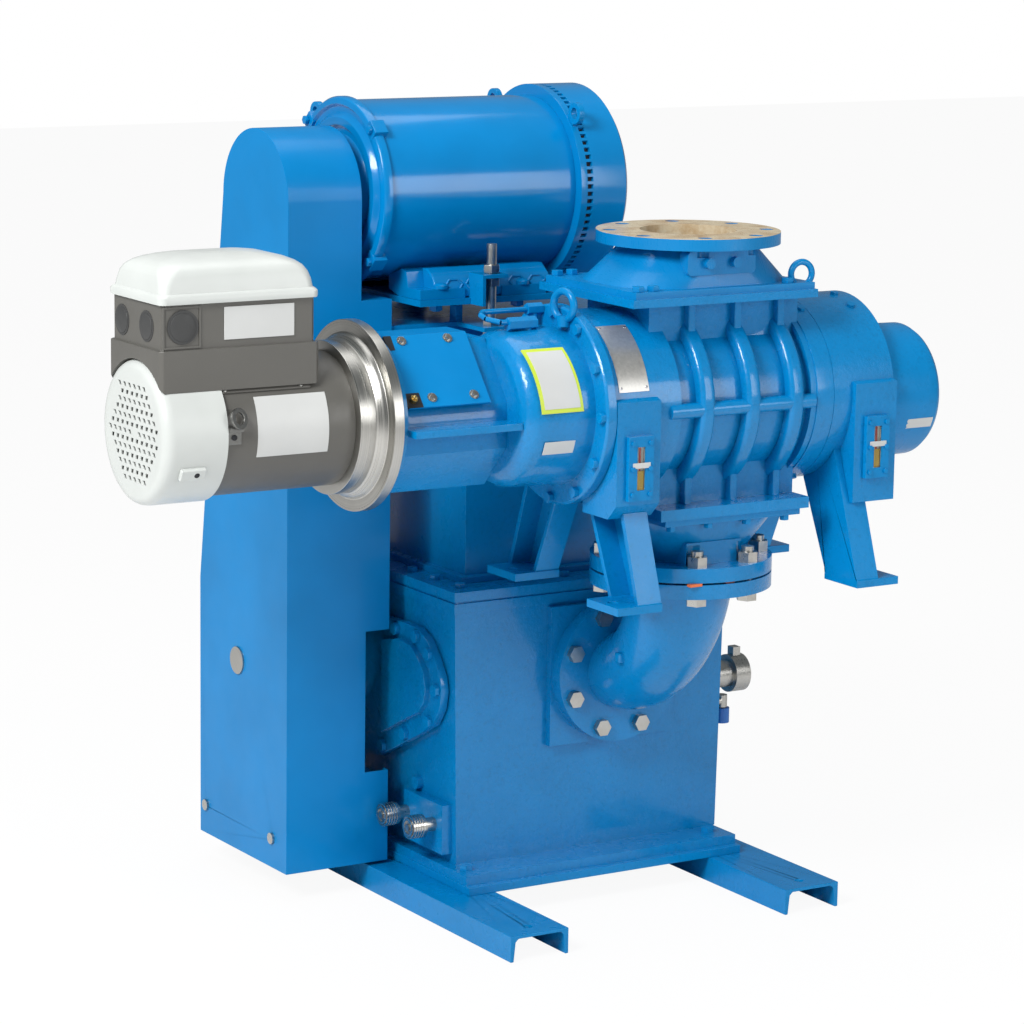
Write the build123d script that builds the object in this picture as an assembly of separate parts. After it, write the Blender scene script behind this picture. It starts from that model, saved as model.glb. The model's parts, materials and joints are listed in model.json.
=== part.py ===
from build123d import *
import math
import os

# Roots booster on a belt-driven backing pump: +X along the booster toward its
# gear end, +Y away from the inlet elbow side, +Z up.  All lengths in mm.
# Working coordinates have X = Y = 0 on the inlet flange axis and Z = 0 on the
# floor; SHIFT moves everything so that the box of the whole is centred on X, Y.
SHIFT = (256.0, -326.0, 0.0)

# ---- skid rails (4 in channel, web up) and base plate
RAIL_W, RAIL_H, RAIL_WEB, RAIL_TOE, RAIL_ROOT = 101.6, 40.2, 4.8, 5.4, 8.6
RAIL_L_X, RAIL_R_X = -300.8, 202.1
RAIL_Y0, RAIL_Y1 = -91.0, 836.0
ANCHOR_D, ANCHOR_IN = 14.0, 35.0
PLATE_X0, PLATE_X1, PLATE_Y0, PLATE_Y1, PLATE_T = -299.5, 212.0, 119.0, 836.0, 13.0

# ---- backing pump
FOOT_X0, FOOT_X1, FOOT_Y0, FOOT_Y1, FOOT_T = -297.0, 210.0, 131.0, 824.0, 15.0
BOX_X0, BOX_X1, BOX_Y0, BOX_Y1 = -285.0, 220.0, 195.0, 760.0
BOX_DRAFT, WALL = 7.0, 12.0
BOX_TOP, COVER_Z0, COVER_TOP = 470.0, 472.0, 504.0
SHAFT_Y, SHAFT_Z = 497.0, 358.0
BARREL_R, BARREL_BORE = 148.0, 130.0
PUMP_SHAFT_R, RUN, FIT = 24.0, 1.5, 0.05

# ---- inlet elbow of the backing pump, 6 in by 4 in class 150
PORT_Z, PAD_Y = 358.0, 183.0
FL6_R, FL6_BC, FL4_R, FL4_BC = 139.7, 120.65, 114.3, 95.25
FL6_T, FL4_T, BORE6, BORE4 = 22.0, 24.0, 73.5, 51.0
JOINT_Z, GASKET = 553.0, 3.0

# ---- booster
AX_Z, CENTRES = 822.0, 90.0
DRIVE_Y, DRIVEN_Y = CENTRES / 2, -CENTRES / 2
CASE_X0, CASE_X1, CASE_WALL_R, RIB_R, HEAD_R = -124.0, 146.0, 128.0, 146.0, 140.0
BORE_R, SHAFT_R, LOBE_GAP = 69.0, 16.0, 1.0
FLAN_Z0, FLAN_Z1, ADAPT_T = 977.0, 989.0, 10.0
BOT_Z0, BOT_Z1 = 655.0, 672.0
INLET_Z, INLET_T = 1072.8, 18.0
RING_X, RING_R, RING_T = -544.0, 140.0, 16.0
BM_R, BM_X0, BM_X1 = 98.0, -818.0, -600.0

# ---- main motor, its plate and the belt drive
MOT_Y, MOT_Z, MOT_R, MOTOR_SHAFT_R = 450.0, 1105.0, 140.0, 22.0
MOT_X0, MOT_X1 = -338.0, -4.0
MPLATE_Z0, MPLATE_Z1 = 935.0, 945.0
DECK_Z0, DECK_Z1, RISER_TOP = 895.0, 902.0, 836.0
HINGE_Y, HINGE_Z = 624.0, 919.0
GUARD_X0, GUARD_X1, GUARD_XS = -501.0, -319.0, -373.0
GUARD_Y0, GUARD_Y1, GUARD_Z0, GUARD_ZS, GUARD_TOP = 340.0, 638.0, 46.0, 945.0, 1206.0
GUARD_R, GUARD_T, GUARD_LEAN_Z = 108.0, 2.5, 470.0
SHEAVE_X0, SHEAVE_X1, SMALL_R, LARGE_R = -462.0, -400.0, 52.0, 128.0
GROOVE_W, BELT_W, BELT_H, BELTS = 13.0, 9.8, 9.0, 3


def box(x0, x1, y0, y1, z0, z1):
    return Pos((x0 + x1) / 2, (y0 + y1) / 2, (z0 + z1) / 2) * Box(x1 - x0, y1 - y0, z1 - z0)


def cyl_x(x0, x1, y, z, r):
    return Pos((x0 + x1) / 2, y, z) * Rot(0, 90, 0) * Cylinder(r, x1 - x0)


def cyl_y(y0, y1, x, z, r):
    return Pos(x, (y0 + y1) / 2, z) * Rot(90, 0, 0) * Cylinder(r, y1 - y0)


def cyl_z(z0, z1, x, y, r):
    return Pos(x, y, (z0 + z1) / 2) * Cylinder(r, z1 - z0)


def prism_x(pts, x0, x1):
    """Polygon of (y, z) points pushed from x0 to x1."""
    return extrude(Plane.YZ.offset(x0) * make_face(Polyline(*pts, close=True)), x1 - x0)


def prism_y(pts, y0, y1):
    """Polygon of (x, z) points pushed from y0 to y1."""
    return extrude(Plane.XZ.offset(-y1) * make_face(Polyline(*pts, close=True)), y1 - y0)


def lathe_x(pts, y, z):
    """Profile of (x, radius) points turned about a line along X."""
    return Pos(0, y, z) * revolve(make_face(Polyline(*pts, close=True)), Axis.X)


def lathe_z(pts, x, y):
    """Profile of (radius, z) points turned about a line along Z."""
    return Pos(x, y, 0) * revolve(Plane.XZ * make_face(Polyline(*pts, close=True)), Axis.Z)


def hex_bolt(d, af, head, grip, nut=0.0, tail=0.0):
    """Bolt along -Z from its seat at z = 0: head above, shank below, nut after grip."""
    body = extrude(RegularPolygon(af / 2, 6, major_radius=False), head)
    body += cyl_z(-grip - nut - tail, 0, 0, 0, d / 2)
    if nut:
        body += Pos(0, 0, -grip - nut) * extrude(RegularPolygon(af / 2, 6, major_radius=False), nut)
    return body


def on_circle(n, r, first=0.0):
    return [(r * math.cos(math.radians(first + 360 * i / n)),
             r * math.sin(math.radians(first + 360 * i / n))) for i in range(n)]


def group(*items):
    solids = []
    for item in items:
        for part in (item if isinstance(item, (list, tuple)) else [item]):
            solids += part.solids()
    return Compound(solids)


# ------------------------------------------------------------------ skid
def rail(xc):
    h, hw = RAIL_H, RAIL_W / 2
    pts = [(-hw, 0), (-hw, h), (hw, h), (hw, 0), (hw - RAIL_TOE, 0), (hw - RAIL_ROOT, h - RAIL_WEB - 5),
           (hw - RAIL_ROOT - 5, h - RAIL_WEB), (-hw + RAIL_ROOT + 5, h - RAIL_WEB),
           (-hw + RAIL_ROOT, h - RAIL_WEB - 5), (-hw + RAIL_TOE, 0)]
    beam = prism_y([(xc + x, z) for x, z in pts], RAIL_Y0, RAIL_Y1)
    for y in (RAIL_Y0 + ANCHOR_IN, RAIL_Y1 - ANCHOR_IN):
        beam -= cyl_z(0, h + 1, xc, y, ANCHOR_D / 2)
    for y in BASE_BOLT_Y:
        beam -= cyl_z(20, h + 1, xc + (24 if xc < 0 else -24), y, 7)
    return beam


BASE_BOLT_Y = (166.0, 800.0)


def base_bolt_spots():
    return [(x, y) for x in (RAIL_L_X + 24, RAIL_R_X - 24) for y in BASE_BOLT_Y]


def base_plate():
    plate = box(PLATE_X0, PLATE_X1, PLATE_Y0, PLATE_Y1, RAIL_H, RAIL_H + PLATE_T)
    for x, y in base_bolt_spots():
        plate -= cyl_z(30, 90, x, y, 7)
    return plate


def base_bolts():
    top = RAIL_H + PLATE_T + FOOT_T
    grip = FOOT_T + PLATE_T + RAIL_WEB
    return group([Pos(x, y, top) * hex_bolt(12, 19, 8, grip, 10, 4) for x, y in base_bolt_spots()])


# ------------------------------------------------------------------ backing pump
def pump_housing():
    z0, d = RAIL_H + PLATE_T + FOOT_T, BOX_DRAFT
    body = box(FOOT_X0, FOOT_X1, FOOT_Y0, FOOT_Y1, z0 - FOOT_T, z0)
    low = Pos((BOX_X0 + BOX_X1) / 2, (BOX_Y0 + BOX_Y1) / 2, z0) * Rectangle(BOX_X1 - BOX_X0 - 2 * d, BOX_Y1 - BOX_Y0)
    high = Pos((BOX_X0 + BOX_X1) / 2, (BOX_Y0 + BOX_Y1) / 2, BOX_TOP) * Rectangle(BOX_X1 - BOX_X0, BOX_Y1 - BOX_Y0)
    body += loft([low, high])
    x0, x1 = BOX_X0 + WALL + d, BOX_X1 - WALL - d
    body -= box(x0, x1, BOX_Y0 + WALL, BOX_Y1 - WALL, z0 + 8, BOX_TOP + 1)
    body += box(x0 - 2, x1 + 2, SHAFT_Y - 106, SHAFT_Y + 106, z0 + 4, BOX_TOP - 2)
    body -= cyl_x(BOX_X0 - 5, x1 - 10, SHAFT_Y, SHAFT_Z, PUMP_BORE)
    body -= cyl_x(x1 - 12, x1 + 8, SHAFT_Y, SHAFT_Z, PUMP_SHAFT_R + RUN)
    body += box(-116, 116, PAD_Y, BOX_Y0 + 6, PORT_Z - 116, PORT_Z + 108)
    body += box(DRAIN_PAD_X, BOX_X0 + d + 4, 207, 327, 84, 163) + cyl_x(BOX_X0 - 6, BOX_X0 + d + 4, 304, 177, 10)
    body -= cyl_y(PAD_Y - 5, BOX_Y0 + 30, 0, PORT_Z, BORE4)
    for a, b in on_circle(8, FL4_BC, 22.5):
        body -= cyl_y(PAD_Y - 5, PAD_Y + 22, a, PORT_Z + b, 8.3)
    for x, y in base_bolt_spots():
        body -= cyl_z(30, z0 + 1, x, y, 7)
    return body


PUMP_BORE = 92.0
COVER_OUT = [(210, 345), (216, 316), (236, 286), (283, 260), (398, 202), (470, 190), (560, 200), (600, 280),
             (600, 430), (560, 452), (470, 452), (400, 430), (331, 433), (286, 431), (256, 418), (234, 394), (216, 368)]
COVER_PANEL = [(243, 344), (249, 320), (266, 302), (304, 284), (384, 244), (384, 396), (330, 408), (292, 404),
               (268, 388), (250, 370)]


def bearing_cover():
    """Heavy cover plate on the left side with a raised panel and the shaft bearing hub."""
    x = BOX_X0
    body = prism_x(COVER_OUT, x - 14, x)
    body += prism_x(COVER_PANEL, x - 24, x - 14)
    body += lathe_x([(x - 60, 0), (x - 60, 52), (x - 30, 66), (x - 14, 88), (x - 14, 0)], SHAFT_Y, SHAFT_Z)
    body -= cyl_x(x - 100, x + 10, SHAFT_Y, SHAFT_Z, PUMP_SHAFT_R + FIT)
    body -= cyl_x(x - 40, x + 10, SHAFT_Y, SHAFT_Z, PUMP_SHAFT_R + RUN)
    return body


def side_bolts():
    spots = [(224, 345), (246, 290), (320, 255), (389, 220), (247, 398), (286, 419), (350, 419), (420, 424),
             (568, 436), (590, 316), (560, 214), (470, 203)]
    return group([Pos(BOX_X0 - 14, y, z) * Rot(0, -90, 0) * extrude(RegularPolygon(9, 6, major_radius=False), 8)
                  for y, z in spots])


def pump_cover():
    body = box(BOX_X0 - 2, BOX_X1 + 2, BOX_Y0 - 2, BOX_Y1 + 2, BOX_TOP, COVER_Z0 + 14)
    body += box(BOX_X0 + 1, BOX_X1 - 1, BOX_Y0 + 1, BOX_Y1 - 1, COVER_Z0 + 14, COVER_Z0 + 17)
    body += box(BOX_X0 - 2, BOX_X1 + 2, BOX_Y0 - 2, BOX_Y1 + 2, COVER_Z0 + 17, COVER_TOP)
    return body - box(-180, 150, 300, 640, BOX_TOP - 1, COVER_TOP + 1)


def cover_bolt_spots():
    xs, ys = [-257, -160, -66, 28, 122, 208], [300, 371, 480, 600]
    return [(x, y) for x in xs for y in (228, 740)] + [(x, y) for x in (-260, 211) for y in ys]


def pump_bolts():
    top = [Pos(x, y, COVER_TOP) * extrude(RegularPolygon(8, 6, major_radius=False), 7) for x, y in cover_bolt_spots()]
    return group(top, side_bolts())


def riser():
    """Welded separator stack between the pump cover and the motor deck, stepped back near its top."""
    x0, x1, y0, y1, yn, zt = -228.0, 190.0, 262.0, 690.0, 356.0, RISER_TOP
    body = box(x0, x1, y0, y1, COVER_TOP, zt) - box(x0 + 8, x1 - 8, y0 + 8, y1 - 8, COVER_TOP - 1, zt + 1)
    low = box(x0 - 14, x1 + 10, y0 - 14, y1 + 10, COVER_TOP, COVER_TOP + 10)
    body += low - box(x0 + 30, x1 - 30, y0 + 30, y1 - 30, COVER_TOP - 1, COVER_TOP + 11)
    top = box(x0 - 14, x1 + 10, y0 - 14, y1 + 10, zt - 10, zt)
    body += top - box(x0 + 30, x1 - 30, yn + 8, y1 - 30, zt - 11, zt + 1)
    body += box(x0 + 12, x1 - 12, yn, y1 - 10, zt - 2, DECK_Z0) - box(x0 + 20, x1 - 20, yn + 8, y1 - 18, zt - 3, DECK_Z0 + 1)
    body += cyl_y(y1 - 4, y1 + 35, 100, 780, EXHAUST_R + 8)
    return body - cyl_y(y1 - 9, y1 + 36, 100, 780, EXHAUST_R)


EXHAUST_R = 26.0


def motor_deck():
    """Deck plate with hinge lugs behind, a tab for the jack rod in front and a stop under the tilting plate."""
    deck = box(GUARD_X1, 205, DECK_Y0, 690, DECK_Z0, DECK_Z1)
    deck += box(JACK_X - 24, JACK_X + 24, JACK_Y - 20, DECK_Y0 + 1, DECK_Z0, DECK_Z1)
    for x in HINGE_LUGS:
        deck += prism_x([(HINGE_Y - 26, DECK_Z1 - 1), (HINGE_Y - 13, HINGE_Z + 13), (HINGE_Y + 13, HINGE_Z + 13),
                         (HINGE_Y + 26, DECK_Z1 - 1)], x - 10, x + 10)
    deck += Pos(-192, DECK_Y0 + 14, DECK_Z1 - 1) * extrude(RegularPolygon(10, 6, major_radius=False), 26)
    deck -= cyl_x(-330, 70, HINGE_Y, HINGE_Z, 8.0)
    return deck - cyl_z(DECK_Z0 - 5, DECK_Z1 + 5, JACK_X, JACK_Y, 8.4)


DECK_Y0 = 345.0
HINGE_LUGS = (-227.0, -112.0)
JACK_X, JACK_Y, JACK_R = -174.0, 283.0, 8.0
JACK_LUG_Z, NUT_GAP = 978.0, 0.6


def hinge_pin():
    return cyl_x(HINGE_LUGS[0] - 18, HINGE_LUGS[1] + 18, HINGE_Y, HINGE_Z, 8.0)


def jack_rod():
    rod = cyl_z(870, 1030, JACK_X, JACK_Y, JACK_R)
    for z in (DECK_Z1, DECK_Z0 - 10):
        rod += Pos(JACK_X, JACK_Y, z) * extrude(RegularPolygon(12, 6, major_radius=False), 10)
    return rod


def jack_nuts():
    nuts = []
    for z in (JACK_LUG_Z + 6 + NUT_GAP, JACK_LUG_Z - 13 - NUT_GAP):
        nut = Pos(JACK_X, JACK_Y, z) * extrude(RegularPolygon(12, 6, major_radius=False), 13)
        nuts.append(nut - cyl_z(z - 1, z + 20, JACK_X, JACK_Y, JACK_R + 0.4))
    return group(nuts)


# ------------------------------------------------------------------ main motor
def motor_plate():
    """Tilting plate: knuckles on the hinge pin behind, slotted lug on the jack rod in front."""
    y0 = MOT_Y - 150
    plate = box(-292, -45, y0, HINGE_Y - 16, MPLATE_Z0, MPLATE_Z1)
    for x in (HINGE_LUGS[0] + 11.5, HINGE_LUGS[1] - 27.5):
        plate += prism_x([(HINGE_Y - 60, MPLATE_Z0 + 1), (HINGE_Y - 16, MPLATE_Z0 + 1), (HINGE_Y + 15, HINGE_Z + 10),
                          (HINGE_Y + 15, HINGE_Z - 15), (HINGE_Y - 15, HINGE_Z - 15)], x, x + 16)
    plate -= cyl_x(-400, 100, HINGE_Y, HINGE_Z, 9.0)
    plate += box(JACK_X - 26, JACK_X + 20, JACK_Y - 18, y0 + 8, JACK_LUG_Z, JACK_LUG_Z + 6)
    plate += box(JACK_X - 26, JACK_X - 20, JACK_Y - 18, y0 + 8, MPLATE_Z0, JACK_LUG_Z + 1)
    plate -= box(JACK_X - JACK_R - 1.5, JACK_X + JACK_R + 1.5, JACK_Y - 12, JACK_Y + 12, 950, 1000)
    for x, y in motor_bolt_spots():
        plate -= cyl_z(900, 960, x, y, 8)
    return plate


MOTOR_FEET = (-250.0, -102.0)


def motor_bolt_spots():
    return [(x, y) for x in MOTOR_FEET for y in (MOT_Y - 127, MOT_Y + 127)]


def motor_bolts():
    return group([Pos(x, y, MPLATE_Z1 + 16) * hex_bolt(13, 20, 9, 16 + MPLATE_Z1 - MPLATE_Z0, 9, 2) for x, y in motor_bolt_spots()])


def motor_frame():
    body = cyl_x(MOT_X0, MOT_X1, MOT_Y, MOT_Z, MOT_R) - cyl_x(MOT_X0 - 1, MOT_X1 + 1, MOT_Y, MOT_Z, MOT_R - 10)
    feet = None
    for xc in MOTOR_FEET:
        for s in (-1, 1):
            pad = [(MOT_Y + s * 148, MPLATE_Z1), (MOT_Y + s * 148, MPLATE_Z1 + 16), (MOT_Y + s * 110, MPLATE_Z1 + 16),
                   (MOT_Y + s * 104, MPLATE_Z1 + 40), (MOT_Y + s * 90, MPLATE_Z1 + 44), (MOT_Y + s * 50, MPLATE_Z1 + 30),
                   (MOT_Y + s * 50, MPLATE_Z1 + 8), (MOT_Y + s * 80, MPLATE_Z1)]
            foot = prism_x(pad, xc - 41, xc + 41)
            feet = foot if feet is None else feet + foot
    feet -= cyl_x(MOT_X0 - 50, MOT_X1 + 50, MOT_Y, MOT_Z, MOT_R - 5)
    body += feet
    for x, y in motor_bolt_spots():
        body -= cyl_z(MPLATE_Z1 - 1, MPLATE_Z1 + 16.5, x, y, 8)
    return body


def drive_bell():
    """Drive-end shield with concentric rings on its face."""
    x = MOT_X0
    prof = [(x, 146), (x, 20), (x - 14, 20), (x - 14, 60), (x - 20, 66), (x - 20, 80), (x - 11, 88), (x - 11, 96),
            (x - 18, 102), (x - 18, 114), (x - 10, 122), (x - 10, 130), (x - 16, 134), (x - 14, 143), (x - 10, 146)]
    return lathe_x(prof, MOT_Y, MOT_Z) - cyl_x(x - 30, x + 10, MOT_Y, MOT_Z, MOTOR_SHAFT_R + FIT)


def fan_cover():
    """Fan-end shield and the deep cover over the cooling fan, with its ring of air slots."""
    x = MOT_X1
    prof = [(x, 40), (x, 157), (x + 12, 157), (x + 12, 151), (x + 22, 151), (x + 22, 157), (x + 84, 157), (x + 91, 149),
            (x + 95, 128), (x + 95, 60), (x + 92, 60), (x + 92, 126), (x + 88, 145), (x + 82, 153), (x + 26, 153),
            (x + 16, 139), (x + 16, 40)]
    body = lathe_x(prof, MOT_Y, MOT_Z)
    for a in range(0, 360, 20):
        body -= Pos(0, MOT_Y, MOT_Z) * Rot(a, 0, 0) * Pos(x + 17, 0, 154) * Box(6.2, 18, 12)
    return body - cyl_x(x - 10, x + 40, MOT_Y, MOT_Z, 27)


def motor_eyes():
    eyes = []
    for x, a, seat in ((MOT_X0 + 6, 134, MOT_R), (MOT_X1 + 7, 134, 157), (MOT_X1 + 7, 43, 157)):
        r = seat + 17
        eye = cyl_x(-5, 5, 0, r, 17) + box(-5, 5, -11, 11, seat - 4, r)
        eye -= cyl_x(-9, 9, 0, r, 9)
        eye -= cyl_x(-20, 20, 0, 0, seat)
        eyes.append(Pos(x, MOT_Y, MOT_Z) * Rot(90 - a, 0, 0) * eye)
    return group(eyes)


def motor_shaft():
    shaft = cyl_x(SHEAVE_X0 + 2, MOT_X1 + 40, MOT_Y, MOT_Z, MOTOR_SHAFT_R)
    return shaft + cyl_x(MOT_X0 + 40, MOT_X1 - 40, MOT_Y, MOT_Z, 88)


def motor_fan():
    x = MOT_X1 + 30
    fan = cyl_x(x + 6, x + 14, MOT_Y, MOT_Z, 44) - cyl_x(x, x + 20, MOT_Y, MOT_Z, MOTOR_SHAFT_R)
    for i in range(7):
        fan += Pos(0, MOT_Y, MOT_Z) * Rot(i * 360 / 7, 0, 0) * box(x, x + 34, -3, 3, 40, 112)
    return fan


def sheave(r, bore, x0, x1, y, z):
    """Grooved V-belt sheave with a web and hub."""
    pitch = (x1 - x0) / BELTS
    pts = [(x0, bore), (x0, r)]
    for i in range(BELTS):
        c = x0 + pitch * (i + 0.5)
        pts += [(c - GROOVE_W / 2 - 0.9, r), (c - GROOVE_W / 2 + 1.2, r - BELT_H - 2), (c + GROOVE_W / 2 - 1.2, r - BELT_H - 2),
                (c + GROOVE_W / 2 + 0.9, r)]
    pts += [(x1, r), (x1, bore)]
    return lathe_x(pts, y, z)


def motor_sheave():
    return sheave(SMALL_R, 22, SHEAVE_X0, SHEAVE_X1, MOT_Y, MOT_Z)


def pump_sheave():
    body = sheave(LARGE_R, PUMP_SHAFT_R, SHEAVE_X0, SHEAVE_X1, SHAFT_Y, SHAFT_Z)
    for x0, x1 in ((SHEAVE_X0 - 1, SHEAVE_X0 + 22), (SHEAVE_X1 - 22, SHEAVE_X1 + 1)):
        body -= cyl_x(x0, x1, SHAFT_Y, SHAFT_Z, LARGE_R - 26) - cyl_x(x0, x1, SHAFT_Y, SHAFT_Z, 46)
    for a, b in on_circle(5, 76):
        body -= cyl_x(SHEAVE_X0 - 1, SHEAVE_X1 + 1, SHAFT_Y + a, SHAFT_Z + b, 17)
    return body


def belt_loop(xc):
    """One V-belt: the outside of its two tangent runs minus the inside."""
    dy, dz = MOT_Y - SHAFT_Y, MOT_Z - SHAFT_Z
    lean, dist = math.atan2(-dy, dz), math.hypot(dy, dz)
    solids = []
    for grow in (BELT_H, 0.0):
        rs, rl = SMALL_R - BELT_H - 0.5 + grow, LARGE_R - BELT_H - 0.5 + grow
        a = math.asin((rl - rs) / dist)
        ends = []
        for r, y, z in ((rl, SHAFT_Y, SHAFT_Z), (rs, MOT_Y, MOT_Z)):
            for side in (1, -1):
                t = lean + (math.pi / 2 - a) * side * -1
                ends.append((y - r * math.sin(t), z + r * math.cos(t)))
        run = [ends[0], ends[2], ends[3], ends[1]]
        shape = prism_x(run, xc - BELT_W / 2, xc + BELT_W / 2)
        shape += cyl_x(xc - BELT_W / 2, xc + BELT_W / 2, MOT_Y, MOT_Z, rs)
        shape += cyl_x(xc - BELT_W / 2, xc + BELT_W / 2, SHAFT_Y, SHAFT_Z, rl)
        solids.append(shape)
    return solids[0] - solids[1]


def v_belts():
    pitch = (SHEAVE_X1 - SHEAVE_X0) / BELTS
    return group([belt_loop(SHEAVE_X0 + pitch * (i + 0.5)) for i in range(BELTS)])


def pump_shaft():
    shaft = cyl_x(SHEAVE_X0 - 8, BOX_X1 - 14, SHAFT_Y, SHAFT_Z, PUMP_SHAFT_R)
    for i, (x, wide) in enumerate(((-262.0, 172.0), (-86.0, 132.0), (54.0, 132.0))):
        a = math.radians(120 * i)
        shaft += cyl_x(x, x + wide, SHAFT_Y + 12 * math.cos(a), SHAFT_Z + 12 * math.sin(a), 74)
    return shaft


def guard_shape(grow, x0, x1, z0, top):
    """Guard outline in Y and Z: upright front, back wall leaning in, round top on the motor axis."""
    y0, y1, r = GUARD_Y0 - grow, GUARD_Y1 + grow, GUARD_R + grow
    zc = GUARD_TOP - GUARD_R
    yc = GUARD_Y0 + GUARD_R
    if top > zc:
        body = prism_x([(y0, z0), (y0, zc), (yc + r, zc), (y1, GUARD_LEAN_Z), (y1, z0)], x0, x1)
        return body + cyl_x(x0, x1, yc, zc, r)
    share = (top - GUARD_LEAN_Z) / (zc - GUARD_LEAN_Z)
    return prism_x([(y0, z0), (y0, top), (y1 + (yc + r - y1) * share, top), (y1, GUARD_LEAN_Z), (y1, z0)], x0, x1)


def belt_guard():
    """Folded sheet guard, round topped, open below, with a notch for the bearing cover."""
    t = GUARD_T
    body = guard_shape(0, GUARD_X0, GUARD_XS, GUARD_Z0, 2000) + guard_shape(0, GUARD_XS, GUARD_X1, GUARD_Z0, GUARD_ZS)
    body -= guard_shape(-t, GUARD_X0 + t, GUARD_XS - t, GUARD_Z0 - 5, 2000)
    body -= guard_shape(-t, GUARD_XS - t - 1, GUARD_X1 - t, GUARD_Z0 - 5, GUARD_ZS - t)
    body -= box(GUARD_XS + 12, GUARD_X1 + 5, GUARD_Y0 - 5, GUARD_Y0 + 12, 194, 422)
    body -= box(GUARD_X1 - 5, GUARD_X1 + 5, GUARD_Y0 + 12, SHAFT_Y + 106, 182, 470)
    body -= cyl_x(GUARD_XS - 10, GUARD_XS + 5, MOT_Y, MOT_Z, 40)
    body -= cyl_x(GUARD_X0 - 5, GUARD_X0 + 5, SHAFT_Y + 8, SHAFT_Z, 17)
    for y, z in guard_screw_spots():
        body -= cyl_x(GUARD_X0 - 5, GUARD_X0 + 5, y, z, 5)
    return body


def guard_screw_spots():
    return [(GUARD_Y0 + 48, 94.0), (GUARD_Y1 - 22, 94.0)]


def guard_arms():
    """Flat bars inside the guard that carry it from the left rail."""
    x = GUARD_X0 + GUARD_T
    arms = []
    for y, z in guard_screw_spots():
        arm = box(x, x + 6, y - 16, y + 16, 60, 112) + box(x, -326, y - 16, y + 16, 60, 66)
        arm += box(-348, -326, y - 16, y + 16, RAIL_H, 66)
        arms.append(arm - cyl_x(x - 1, x + 20, y, z, 5))
    return group(arms)


def guard_fittings():
    x = GUARD_X0
    plug = cyl_x(x - 3, x, SHAFT_Y + 8, SHAFT_Z, 22) + cyl_x(x, x + 12, SHAFT_Y + 8, SHAFT_Z, 16.8)
    items = [plug, guard_arms()]
    for y, z in guard_screw_spots():
        items.append(cyl_x(x - 4, x, y, z, 9) + cyl_x(x, x + 14, y, z, 4.8))
    return group(items)


# ------------------------------------------------------------------ elbow and flanges
def elbow():
    """Cast reducing elbow: round sections along a quarter bend between two drilled flanges."""
    leg_y, leg_z = PAD_Y, JOINT_Z - PORT_Z

    def sections(r_top, r_side, steps=6):
        out = []
        for i in range(steps + 1):
            t = math.pi / 2 * i / steps
            y, z = leg_y * (1 - math.cos(t)), JOINT_Z - leg_z * math.sin(t)
            tangent = Vector(0, leg_y * math.sin(t), -leg_z * math.cos(t))
            r = r_top + (r_side - r_top) * i / steps
            out.append(Plane(origin=(0, y, z), x_dir=(1, 0, 0), z_dir=tangent) * Circle(r))
        return out
    body = loft(sections(BORE6 + 9, BORE4 + 9))
    body += cyl_z(JOINT_Z - FL6_T, JOINT_Z, 0, 0, FL6_R) + cyl_y(PAD_Y - FL4_T, PAD_Y, 0, PORT_Z, FL4_R)
    body += cyl_y(60, PAD_Y - 10, -34, PORT_Z + 6, 9)
    body -= loft(sections(BORE6, BORE4))
    body -= cyl_z(JOINT_Z - 2, JOINT_Z + 1, 0, 0, BORE6) + cyl_y(PAD_Y - 2, PAD_Y + 1, 0, PORT_Z, BORE4)
    for a, b in on_circle(8, FL6_BC, 22.5):
        body -= cyl_z(JOINT_Z - 40, JOINT_Z + 1, a, b, 10.5)
    for a, b in on_circle(8, FL4_BC, 22.5):
        body -= cyl_y(PAD_Y - 40, PAD_Y + 1, a, PORT_Z + b, 9)
    return body


def joint_gasket():
    ring = cyl_z(JOINT_Z, JOINT_Z + GASKET, 0, 0, 109) - cyl_z(JOINT_Z - 1, JOINT_Z + 9, 0, 0, BORE6 + 1)
    return ring + box(-8, 8, -134, -105, JOINT_Z, JOINT_Z + GASKET)


def flange_bolts():
    top = JOINT_Z + GASKET + FL6_T
    items = []
    for a, b in on_circle(8, FL6_BC, 22.5):
        grip = 2 * FL6_T + GASKET
        bolt = Pos(a, b, top - grip) * Rot(180, 0, 0) * hex_bolt(19, 28.6, 12, grip, 16, 8)
        items.append(bolt)
    for a, b in on_circle(8, FL4_BC, 22.5):
        bolt = Pos(a, PAD_Y - FL4_T, PORT_Z + b) * Rot(90, 0, 0) * hex_bolt(16, 24, 10.5, FL4_T + 18)
        items.append(bolt)
    return group(items)


def discharge_adapter():
    """Round to oblong transition under the booster."""
    z0 = JOINT_Z + GASKET
    body = cyl_z(z0, z0 + FL6_T, 0, 0, FL6_R)
    body += loft([Pos(0, 0, z0 + FL6_T - 2) * RectangleRounded(2 * 88, 2 * 88, 87.5),
                  Pos(6, 0, 646) * RectangleRounded(236, 214, 60)])
    body += box(-112, 134, -122, 122, 645, BOT_Z0)
    body += box(-58, 42, -100, -60, z0 + FL6_T - 2, z0 + FL6_T + 34)
    body -= loft([Pos(0, 0, z0 - 1) * RectangleRounded(2 * BORE6, 2 * BORE6, BORE6 - 0.5),
                  Pos(0, 0, BOT_Z0 + 1) * RectangleRounded(196, 120, 40)])
    for a, b in on_circle(8, FL6_BC, 22.5):
        body -= cyl_z(z0 - 1, z0 + FL6_T + 0.5, a, b, 10.5)
        body -= cyl_z(z0 + FL6_T, z0 + FL6_T + 30, a, b, 17)
    return body


# ------------------------------------------------------------------ booster casing
RIBS_X = (-55.0, 28.0, 107.0)
RIB_T = 20.0


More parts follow.
